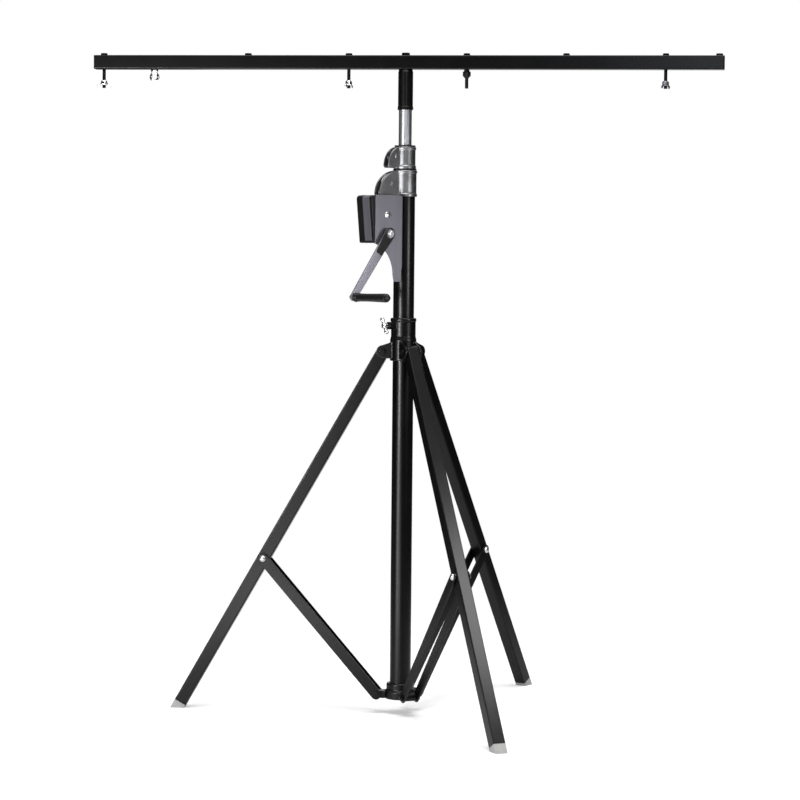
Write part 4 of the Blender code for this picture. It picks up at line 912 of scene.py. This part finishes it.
for name, side in (("left", -1), ("right", 1)):
    face = plate([rim], CAP_FACE, "YZ", shift(side * (BAR_HALF - CAP_FACE / 2.0), 0, BAR_MIDDLE), 1.0)
    plug = plate([rounded_square(14.2, 2.0)], CAP_PLUG, "YZ",
                 shift(side * (BAR_HALF - CAP_FACE - CAP_PLUG / 2.0), 0, BAR_MIDDLE), 0.5)
    finish(gather(face, plug), "end_cap_" + name, "tbar", PLASTIC, "tbar_end_cap_" + name)

# %% Bolts along the bar
LONG, SHORT, CENTRE = 77.8, 14.8, 40.8      # shank lengths
seat = BAR_TOP + 0.3
rows = [((x, 0, seat), (0, 0, 11.0 * i), LONG, 1.0) for i, x in enumerate(WING_BOLTS.values())]
for i, (name, x) in enumerate(PLAIN_BOLTS.items()):
    rows.append(((x, 0, seat), (0, 0, 17.0 * i + 8), *((CENTRE, 1.24) if name == "centre" else (SHORT, 1.0))))
ends = [((x, 0, 1492.6), (0, 0, 0), 0, 1) for x in WING_BOLTS.values()]
finish(gather(bolts(rows, BLACK, 14.2, 4.0, 8.1), threads(ends, BLACK, 22.0)), "bar_bolts", "tbar", BLACK,
       *["tbar_bolt_" + name for name in [*WING_BOLTS, *PLAIN_BOLTS]])

# %% [markdown]
# ## Nuts, knob and eye
# A wing nut is forged: its wings grow out of the hub with no sharp corner, so hub and wings are joined and
# cast. The knob is moulded plastic with shallow lobes, which a wavy outline gives directly. The eye is a
# forged ring on a round collar.

# %% Wing nuts


def wing_nut():
    hub = lathe([(0, 11), (6.5, 11), (8, 8), (8, 2), (7, 0), (0, 0)], steps=64)
    wings = []
    for side in (1, -1):
        outline = [(3, 9.5), (3, 1), (8, 0.5)] + arc((12.5, -2.5), 4.5, -80.0, 100.0, 12)
        wings.append(plate([[(side * u, v) for u, v in outline][::side]], 3.0, edge=1.0))
    return cut(cast(joined(hub, *wings), 0.45, 3), drill(4.15, -10, 20))


for name, look, turn in (("outer_left", "chrome", 20.0), ("inner_left", "chrome", 65.0),
                         ("outer_right", "grey_steel", 55.0)):
    place = shift(WING_BOLTS[name], 0, 1499.0) @ spin(turn)
    finish(placed(wing_nut(), place), "wings_" + name, "nut_" + name, look, "wing_nut_" + name, smooth=60.0)

# %% Knob
knob = joined(plate([wavy(8.95, 0.5, 10, 120)], 12.0, "XY", shift(z=9.0), 1.4), rod(6.5, 0, 19, ease=0.8))
knob = cut(knob, drill(BOLT_HOLE, -10, 30))
finish(placed(knob, shift(WING_BOLTS["inner_right"], 0, 1517.0)), "knob_right", "knob_inner_right", PLASTIC,
       "round_knob_inner_right")

# %% Eye
UNDER = BAR_LOW - 0.3
section = [(9.0 + x, z) for x, z in wavy(3.0, 0.0, 1, 20)]     # a circle outside the axis turns into a ring
neck = lathe([(0, UNDER), (8, UNDER), (9, UNDER - 1), (9, UNDER - 4), (6, UNDER - 9), (0, UNDER - 9)], steps=64)
eye = joined(neck, lathe(section, "Z", shift(z=UNDER - 18) @ spin(90, "X"), 48))
eye = gather(cast(eye, 0.5, 3), rod(4.0, UNDER - 6, BAR_TOP + 1))
finish(placed(eye, shift(EYE_X)), "bar_eye", "tbar", "chrome", "tbar_eye_bolt", smooth=60.0)

# %% [markdown]
# ## The sleeve
# The black sleeve slips over the inner tube and turns on it; its screw with a plastic knob stands behind.

# %% Sleeve and its screw
top, bore, floor_z, screw_z = UNDER, 15.85, 1525.5, 1462.0
body = turned([(0, top), (16.4, top), (16.4, top - 3), (17.7, top - 5), (17.7, 1450), (18.6, 1448), (18.6, 1441),
               (0, 1441)])
boss = rod(7.0, 14.0, 24.0, "Y", shift(z=screw_z), 0.8)
body = cut(joined(body, boss), drill(bore, 1440, floor_z, steps=48))
body = cut(body, drill(3.3, 12, 30, "Y", shift(z=screw_z), 48), drill(BOLT_HOLE, floor_z - 5, top + 5, steps=48))
finish(body, "bar_sleeve", "tbar", BLACK, "tbar_socket")
head = gather(plate([wavy(7.6, 1.3, 6, 96)], 10.5, "XZ", shift(y=36.5), 1.6),
              turned([(0, 33), (6.6, 33), (5, 25), (0, 25)], along="Y"), rod(3.0, 15.8, 32, "Y"))
finish(placed(head, shift(z=screw_z)), "sleeve_screw", "socket_screw", PLASTIC, "socket_lock_screw")

# %% [markdown]
# ## The tripod
# Three square legs hang on a black collar that slides on the mast, and flat struts tie them to a hub at its
# foot. Collar and hub are castings like the head collars, only painted. Their bolts come from the bolt tree:
# a head on one side, and on the other a nut with the bolt's end just showing.

# %% Hub and collar
hub = lathe([(0, 42), (25.3, 42), (25.3, 74), (31, 74), (33, 71), (33, 58), (38, 54), (38, 38), (35, 36), (0, 36)])
for azimuth in LEGS.values():
    outline = [(28, HUB_PIVOT[1] - 9)] + arc(HUB_PIVOT, 9.0, -90.0, 90.0, 16) + [(28, HUB_PIVOT[1] + 9)]
    hub = joined(hub, plate([outline], 30.0, frame=spin(azimuth), edge=1.0))
hub = cast(hub, 1.0, 3)
for azimuth in LEGS.values():
    hub = cut(hub, drill(BOLT_HOLE, -20, 20, "Y", spin(azimuth) @ to(HUB_PIVOT)))
finish(hub, "foot_hub", "mast", BLACK, "lower_hub", smooth=50.0)

LOW, HIGH, SKIRT, NECK = 846.0, 948.0, 31.5, 29.5
collar = lathe([(NECK, HIGH), (NECK + 1.5, HIGH - 2), (NECK + 1.5, HIGH - 7), (NECK, HIGH - 9), (NECK, LOW + 58),
                (SKIRT, LOW + 50), (SKIRT, LOW + 1), (SKIRT - 1, LOW), (23, LOW), (23, HIGH)])
x, z = LEG_PIVOT
outline = [(21, z - 17), (x - 4, z - 16)] + arc(LEG_PIVOT, 15.0, -80.0, 80.0, 16) + [(34, z + 20), (21, z + 26)]
lugs = [plate([outline], 5.0, frame=spin(azimuth) @ shift(y=side * 17.9), edge=1.0)
        for azimuth in LEGS.values() for side in (-1, 1)]
collar = cast(joined(collar, *lugs, rod(9.0, 27.0, 48.0, "X", HANDLE, 1.0)), 1.0, 3)
holes = [drill(BOLT_HOLE, -30, 30, "Y", spin(azimuth) @ to(LEG_PIVOT)) for azimuth in LEGS.values()]
collar = cut(collar, drill(25.45, LOW - 1, HIGH + 1, steps=128), drill(4.4, 20, 60, "X", HANDLE, 48), *holes)
finish(collar, "sliding_collar", "collar", BLACK, "leg_collar", smooth=50.0)

# %% Bolts through the lugs
for name, body, pivot, half_grip, bolt in (("hub_bolts", "mast", HUB_PIVOT, 19.5, "hub_bolt_"),
                                           ("collar_bolts", "collar", LEG_PIVOT, 20.4, "leg_pivot_bolt_")):
    rows, reach = [], half_grip + 0.3
    for azimuth in LEGS.values():
        middle = spin(azimuth) @ to(pivot)
        rows.append((middle @ Vector((0, reach, 0)), (-90, 0, azimuth), 2 * reach + 7, 1.0))
        rows.append((middle @ Vector((0, -reach, 0)), (90, 0, azimuth), 0.5, 1.0))
    finish(bolts(rows, BLACK, 13.0, 4.0, 7.5), name, body, BLACK, *[bolt + leg for leg in LEGS])

# %% Clamp handle
shoulder = turned([(0, 64), (5.5, 64), (7, 61), (7, 52), (6, 50), (0, 50)], 0.8, "X", steps=48)
half = [(0, 21.0), (3.2, 21.0), (5, 19.0), (5, 14.0), (3.6, 11.0)]
cross = turned(mirrored(half), 1.2, "Z", spin(28, "X") @ shift(58, 0, 0), 40)
thread = threads([((48.2, 0, 0), (0, 90, 0), 0, 1)], "chrome", 3.0)
handle = gather(shoulder, cross, rod(3.9, 25.3, 60, "X"), thread)
finish(placed(handle, HANDLE), "clamp_handle", "lock_handle", "chrome", "collar_lock_handle")

# %% [markdown]
# ## Legs, feet and struts
# A leg is a square tube with rounded corners and a rounded top, so it can be cut as one thick plate whose
# edge radius is the tube's corner, then sawn square at the foot and hollowed. Its foot is a plug with a pad,
# cut level where it meets the floor. The struts are flat bars with full round ends and domed rivets.

# %% Legs
LEG_HALF = 15.0
outline = [(-LEG_HALF, -LEG_LENGTH - 8), (LEG_HALF, -LEG_LENGTH - 8)] + arc((0, 0), LEG_HALF, 0.0, 180.0, 24)
for name, azimuth in LEGS.items():
    here, body = spin(azimuth) @ to(LEG_PIVOT) @ spin(-LEG_TILT, "Y"), "leg_" + name
    inside = boxed((-13, -13, -LEG_LENGTH - 20), (13, 13, -22), 1.0)
    saw = boxed((-20, -20, -LEG_LENGTH - 30), (20, 20, -LEG_LENGTH), 0)
    holes = [drill(BOLT_HOLE, -20, 20, "Y", shift(z=-down)) for down in (0, JOINT_DOWN)]
    leg = cut(plate([outline], 2 * LEG_HALF, edge=3.0), inside, saw, *holes)
    finish(placed(leg, here), "tripod_leg_" + name, body, BLACK, "leg_" + name)
    pad = plate([rounded_square(LEG_HALF, 3.0)], 50.0, "XY", shift(z=-LEG_LENGTH - 25.3), 0.6)
    plug = plate([rounded_square(12.7, 2.0)], 16.0, "XY", shift(z=-LEG_LENGTH + 6.0), 0.8)
    ground = boxed((200, -100, -200), (900, 100, 0), 0, spin(azimuth))
    foot = cut(placed(joined(pad, plug), here), ground)
    finish(foot, "rubber_foot_" + name, body, "grey_rubber", "foot_" + name)

# %% Struts
outline = arc((0, 0), 12.5, 180.0, 360.0, 20) + arc((0, STRUT_LENGTH), 12.5, 0.0, 180.0, 20)
dome = [(0, 5.5), (2.6, 5.35), (5.2, 4.6), (7.2, 3.1), (8, 1.6), (8, 0.4), (7.6, 0), (0, 0)]
for name, azimuth in LEGS.items():
    here, body = spin(azimuth) @ to(HUB_PIVOT) @ spin(STRUT_TILT, "Y"), "strut_" + name
    bars = [plate([outline, ring((0, 0), BOLT_HOLE)], 4.0, frame=shift(y=side * 17.5), edge=0.7)
            for side in (-1, 1)]
    finish(placed(gather(*bars), here), "strut_pair_" + name, body, BLACK, body + "_a", body + "_b")
    heads = [lathe(dome, "Y", shift(z=STRUT_LENGTH) @ spin(turn) @ shift(y=19.4), 48) for turn in (0, 180)]
    finish(placed(gather(*heads), here), "strut_rivets_" + name, body, ZINC)

# %% [markdown]
# ## The winch
# The frame is one sheet bent to a U against the mast: two side plates and a web between them. The operator's
# plate has a long tail, swept hollow, beside the mast. The frame is cut here as one block with the plates'
# outline, rounded where the sheet bends, and hollowed, so that plates and bends come out as one piece.

# %% Winch frame
outline = [(27, 1076), (32, 1060), (32, 1038), (36, 1034), (49, 1034), (54, 1040)]
outline += arc((130, 1052), 74.0, 180.0, 105.7, 32) + arc((105, 1233), 5.0, 0.0, 90.0, 6)
outline += arc((37, 1228), 10.0, 90.0, 180.0, 12)
sides = plate([outline], 58.0, edge=0.5)
bends = eased([(27, -29), (150, -29), (150, 29), (27, 29)], 4.0, steps=6)
hollow = eased([(30, -26), (200, -26), (200, 26), (30, 26)], 1.5)
bends, hollow = [plate([rim], 300.0, "XY", shift(z=1150), 0.01) for rim in (bends, hollow)]
tails = boxed((0, -26, 1000), (200, 26, 1128), 0)
far_tail = boxed((0, -30, 1000), (200, 0, 1125), 0)
sides = cut(worked(sides, "INTERSECT", bends), hollow, tails, far_tail)
sides = cut(sides, *[drill(radius, -40, 40, "Y", to(at), 48) for radius, at in ((6.4, CRANK_AT), (5.3, DRUM_AT))])
pads = [boxed((20, -12, z), (28, 12, z + 16), 0.4) for z in (1136, 1214)]
pin = rod(2.5, -27, -12, "Y", to(PAWL_AT))
sides = cut(joined(sides, *pads, pin), drill(25.3, 1000, 1300, steps=128))
finish(placed(sides, WINCH), "winch_plates", "mast", "grey_steel", "winch_frame")

# %% Winch cover
corner = (113.5, 1228.0)
outside = [(110.4, 1125.5), (110.6, 1125.5), (112.6, 1127.5)] + arc(corner, 9.0, 4.0, 90.0, 14) + [(110.4, 1237)]
inside = [(105, 1127.3), (110.8, 1127.3)] + arc(corner, 7.2, 4.0, 90.0, 14) + [(105, 1235.2)]
cover = cut(plate([outside], 58.0, edge=1.2), plate([inside], 54.4, edge=0.2))
lip = boxed((58, -25.7, 1125.7), (111, 25.7, 1127.1), 0.3)
finish(placed(joined(cover, lip), WINCH), "winch_cap", "mast", PLASTIC, "winch_cover")
# A thin grey steel strip laid on the cap's slanted end face and round its top corner, a little off its middle.
bow = [(112.9, 1130.5)] + arc(corner, 9.0, 4.0, 66.0, 12)
bow = [(x + 0.4, z) for x, z in bow] + [(x - 0.9, z - 0.2) for x, z in reversed(bow)]
finish(plate([bow], 26.0, frame=WINCH @ shift(y=7), edge=0.15), "winch_cap_grey_strip", "mast", "grey_steel")

# %% [markdown]
# ## Gears by formula
# The pinion and the wheel have involute teeth: a tooth's flank is the path of a taut string unwound from the
# gear's base circle, so two such gears roll on each other at a steady speed. Eleven teeth drive forty-four,
# which makes the crank four times lighter to turn.

# %% Gear outlines
MODULE, PINION_TEETH, WHEEL_TEETH, FLANK_POINTS = 1.6, 11, 44, 5
MESH_ANGLE = math.degrees(math.atan2(CRANK_AT[1] - DRUM_AT[1], CRANK_AT[0] - DRUM_AT[0]))


def gear(teeth, turn):
    """The outline of an involute gear with its first tooth at an angle in degrees."""
    pressure, pitch = math.radians(20.0), MODULE * teeth / 2.0
    base, tip, foot = pitch * math.cos(pressure), pitch + 0.8 * MODULE, pitch - 1.2 * MODULE
    start = max(base, foot)
    radii = [foot] + [start + (tip - start) * i / (FLANK_POINTS - 1) for i in range(FLANK_POINTS)]
    flank = []
    for radius in radii:
        lean = math.acos(min(1.0, base / max(radius, base)))
        half = math.pi / (2 * teeth) + math.tan(pressure) - pressure - math.tan(lean) + lean - 0.15 / pitch
        flank.append((radius, half))
    points = []
    for tooth in range(teeth):
        middle = math.radians(turn) + 2 * math.pi * tooth / teeth
        sides = [(r, middle - h) for r, h in flank] + [(r, middle + h) for r, h in reversed(flank)]
        points += [polar(r, a) for r, a in sides]
    return points


# %% Drum and its wheel
drum = turned([(27, 12.5), (27, 10.5), (20, 10), (20, -13), (27, -13.5), (27, -15.5), (9, -15.5), (8, -24.5),
               (5.35, -24.5), (5.35, 12.5)], 0.6, "Y", DRUM)
finish(drum, "rope_drum", "drum", ZINC, "winch_drum")
holes = [ring((0, 0), 5.35)] + [ring(polar(22, math.radians(36 + 72 * i)), 5.0, 28) for i in range(5)]
wheel = plate([gear(WHEEL_TEETH, MESH_ANGLE)] + holes, 8.0, frame=DRUM @ shift(y=GEAR_Y), edge=0.2)
finish(wheel, "drum_wheel", "drum", ZINC, "drum_gear")
axle = turned([(0, 31.8), (4, 31.5), (7.5, 30.4), (8.5, 29.3), (5, 29.0), (5, -36.2), (4.2, -37), (0, -37)], 0.4, "Y",
              steps=64)
nut = bolts([((0, -29.3, 0), (90, 0, 0), 0.5, 1)], ZINC, 14.7, 4.7, 9.0)
finish(placed(gather(axle, nut), DRUM), "drum_pin", "mast", ZINC, "drum_axle")

# %% [markdown]
# ## The crank
# Turning the crank lifts the mast, and the toothed ratchet wheel with its pawl keeps it up. The shaft is
# turned, the arm is a flat bar with round ends, and the plastic grip spins on a long bolt at its end. At the
# arm's head, under a bright nut, a black ring round the shaft and a black sleeve round the arm make it dark.

# %% Shaft, ratchet and boss
shaft = turned([(0, 51), (5, 51), (6, 50), (6, -33), (5.2, -34), (0, -34)], along="Y", steps=64)
clip = rod(8.5, -32.5, -29.3, "Y")
pinion = gear(PINION_TEETH, MESH_ANGLE + 180 + 180 / PINION_TEETH)
pinion = plate([pinion], 9.0, frame=shift(y=GEAR_Y), edge=0.2)
saw_teeth = []
for tooth in range(12):
    begin, back = math.radians(180 + 30 * tooth), math.radians(180 + 30 * tooth + 22.5)
    saw_teeth += [polar(12, begin), polar(15, begin), polar(12.54, back)]
ratchet = plate([saw_teeth], 5.0, frame=shift(y=RATCHET_Y), edge=0.2)
nut = bolts([((0, 43.3, 0), (-90, 0, 0), 0.5, 1)], ZINC, 16.4, 4.7, 9.2)
finish(placed(gather(shaft, clip, pinion, ratchet, nut), CRANK), "crank_spindle", "crank", ZINC, "crank_shaft")
boss = turned([(11, 29.3), (11, 36), (9, 37.7), (6.05, 37.7), (6.05, 29.3)], 0.6, "Y", CRANK, 64)
finish(boss, "crank_boss", "crank", PLASTIC)

# %% Arm, bolt and grip
ARM_LENGTH = math.hypot(CRANK_REACH, CRANK_DROP)
along_arm = CRANK @ spin(-math.degrees(math.atan2(CRANK_REACH, CRANK_DROP)), "Y")
outline = arc((0, 0), 13.0, 12.0, 168.0, 24) + arc((0, -ARM_LENGTH), 9.0, 186.0, 354.0, 20)
holes = [ring((0, 0), 6.3), ring((0, -ARM_LENGTH), BOLT_HOLE)]
arm = plate([outline] + holes, 5.0, frame=shift(y=ARM_Y), edge=0.8)
finish(placed(arm, along_arm), "crank_bar", "crank", "grey_steel", "crank_arm")
outline = arc((0, 0), 13.6, 0.0, 180.0, 24)
outline += [(-13.6, -14), (-9.6, -56), (-8.4, -58), (8.4, -58), (9.6, -56), (13.6, -14)]
slot = boxed((-30, 37.9, -100), (30, 43.1, 30), 0)
root = cut(plate([outline, ring((0, 0), 10.6)], 8.0, frame=shift(y=ARM_Y), edge=1.0), slot)
finish(placed(root, along_arm), "arm_root", "crank", PLASTIC)
bolt = turned([(0, 171), (5.5, 171), (6.5, 170), (6.5, 168), (5.5, 167), (4, 167), (4, 48.5), (7, 48.5), (7, 43.3),
               (4, 43.3), (4, 36.5), (0, 36.5)], 0.4, "Y", steps=48)
tail = bolts([((0, 37.7, 0), (90, 0, 0), 0.5, 1)], ZINC, 12.1, 4.0, 7.0, 0.7)
finish(placed(gather(bolt, tail), GRIP), "grip_bolt", "crank", ZINC, "grip_spindle")
cap = turned([(0, 172.4), (3.5, 172.2), (6.2, 171.2), (7.2, 169.6), (7.2, 166.8), (6.4, 166.8), (6.4, 169),
              (5, 171.1), (0, 171.2)], 0.4, "Y", GRIP, 48)
finish(cap, "grip_cap", "crank", PLASTIC)
body = [(8.5, 166.5), (10, 165), (10.4, 158), (9.6, 120), (9.2, 90), (9.6, 62)]
ribs = [(9.7 + (0.5 if i % 2 else 0.0), 62 - 0.9 * i) for i in range(1, 9)]
end = [(11, 52), (11, 50.5), (9.5, 49), (4.4, 49), (4.4, 166.5)]
finish(turned(body + ribs + end, 0.5, "Y", GRIP), "grip_sleeve", "grip", PLASTIC, "crank_grip")

# %% Pawl
beak = (CRANK_AT[0] - PAWL_AT[0] - 15.0 - 0.6, CRANK_AT[1] - PAWL_AT[1] + 0.5)
outline = arc((0, 0), 5.5, 75.0, 255.0, 20) + [(beak[0] - 3, beak[1] - 3.2), beak, (beak[0] - 1, beak[1] + 2.5)]
pawl = plate([outline, ring((0, 0), 2.8, 24)], 4.0, frame=WINCH @ shift(PAWL_AT[0], RATCHET_Y, PAWL_AT[1]), edge=0.3)
finish(pawl, "catch", "pawl", ZINC, "ratchet_pawl")

# %% [markdown]
# ## The wire rope
# The rope is wound on the drum, leaves it on a tangent, rounds the lower pulley and runs down between two
# tubes to the foot of the middle stage. Wire rope is six strands laid round a core. Seven small circles
# swept along the route with a steady twist give exactly that, so one tree draws the whole rope from its
# centre line.

# %% Route
DRUM_ROPE_R, ROPE_PITCH, ROPE_TURNS, PULLEY_R = 21.7, 3.4, 2.5, 24.0
away = (PULLEY_AT[0] - DRUM_AT[0], PULLEY_AT[1] - DRUM_AT[1])
leave = math.atan2(away[1], away[0]) - math.acos((DRUM_ROPE_R - PULLEY_R) / math.hypot(*away))
route = []
for i in range(151):
    left = 1.0 - i / 150
    x, z = polar(DRUM_ROPE_R, leave - 2 * math.pi * ROPE_TURNS * left)
    route.append((DRUM_AT[0] + x, ROPE_PITCH * ROPE_TURNS * left, DRUM_AT[1] + z))
for i in range(41):
    x, z = polar(PULLEY_R, leave + (math.pi - leave) * i / 40)
    route.append((PULLEY_AT[0] + x, 0.0, PULLEY_AT[1] + z))
route.append((PULLEY_AT[0] - PULLEY_R, 0.0, 68.0))
rope_length = sum((Vector(b) - Vector(a)).length for a, b in zip(route, route[1:]))

# %% The rope tree


def rope_tree():
    tree, given, out = nodes_tree("wire_rope", Radius=1.4, Lay=11.0, Step=2.0)
    line = add(tree, "GeometryNodeMeshToCurve", {"Mesh": (given, "Geometry")})
    even = add(tree, "GeometryNodeResampleCurve", {"Curve": (line, "Curve"), "Length": (given, "Step")}, mode="LENGTH")
    turns = maths(tree, "DIVIDE", (add(tree, "GeometryNodeSplineParameter"), "Length"), (given, "Lay"))
    tilt = maths(tree, "MULTIPLY", turns, 2.0 * math.pi)
    twist = add(tree, "GeometryNodeSetCurveTilt", {"Curve": (even, "Curve"), "Tilt": tilt})
    strand = maths(tree, "DIVIDE", (given, "Radius"), 3.0)
    round_wire = circle(tree, 8, strand)
    copies = add(tree, "GeometryNodeInstanceOnPoints", {
        "Points": circle(tree, 6, maths(tree, "MULTIPLY", strand, 2.0)), "Instance": round_wire})
    real = add(tree, "GeometryNodeRealizeInstances", {"Geometry": (copies, "Instances")})
    section = (together(tree, ((real, "Geometry"), round_wire)), "Geometry")
    closing(tree, given, out, swept(tree, (twist, "Curve"), section))
    return tree


line = bpy.data.meshes.new("rope_line")
line.from_pydata(route, [(i, i + 1) for i in range(len(route) - 1)], [])
rope = run_tree(put("rope_line", line), rope_tree(), "wire", Radius=ROPE_R)
finish(placed(rope, WINCH), "stranded_rope", "mast", "wire", "wire_rope", smooth=60.0)
print("rope %.0f mm long" % rope_length)
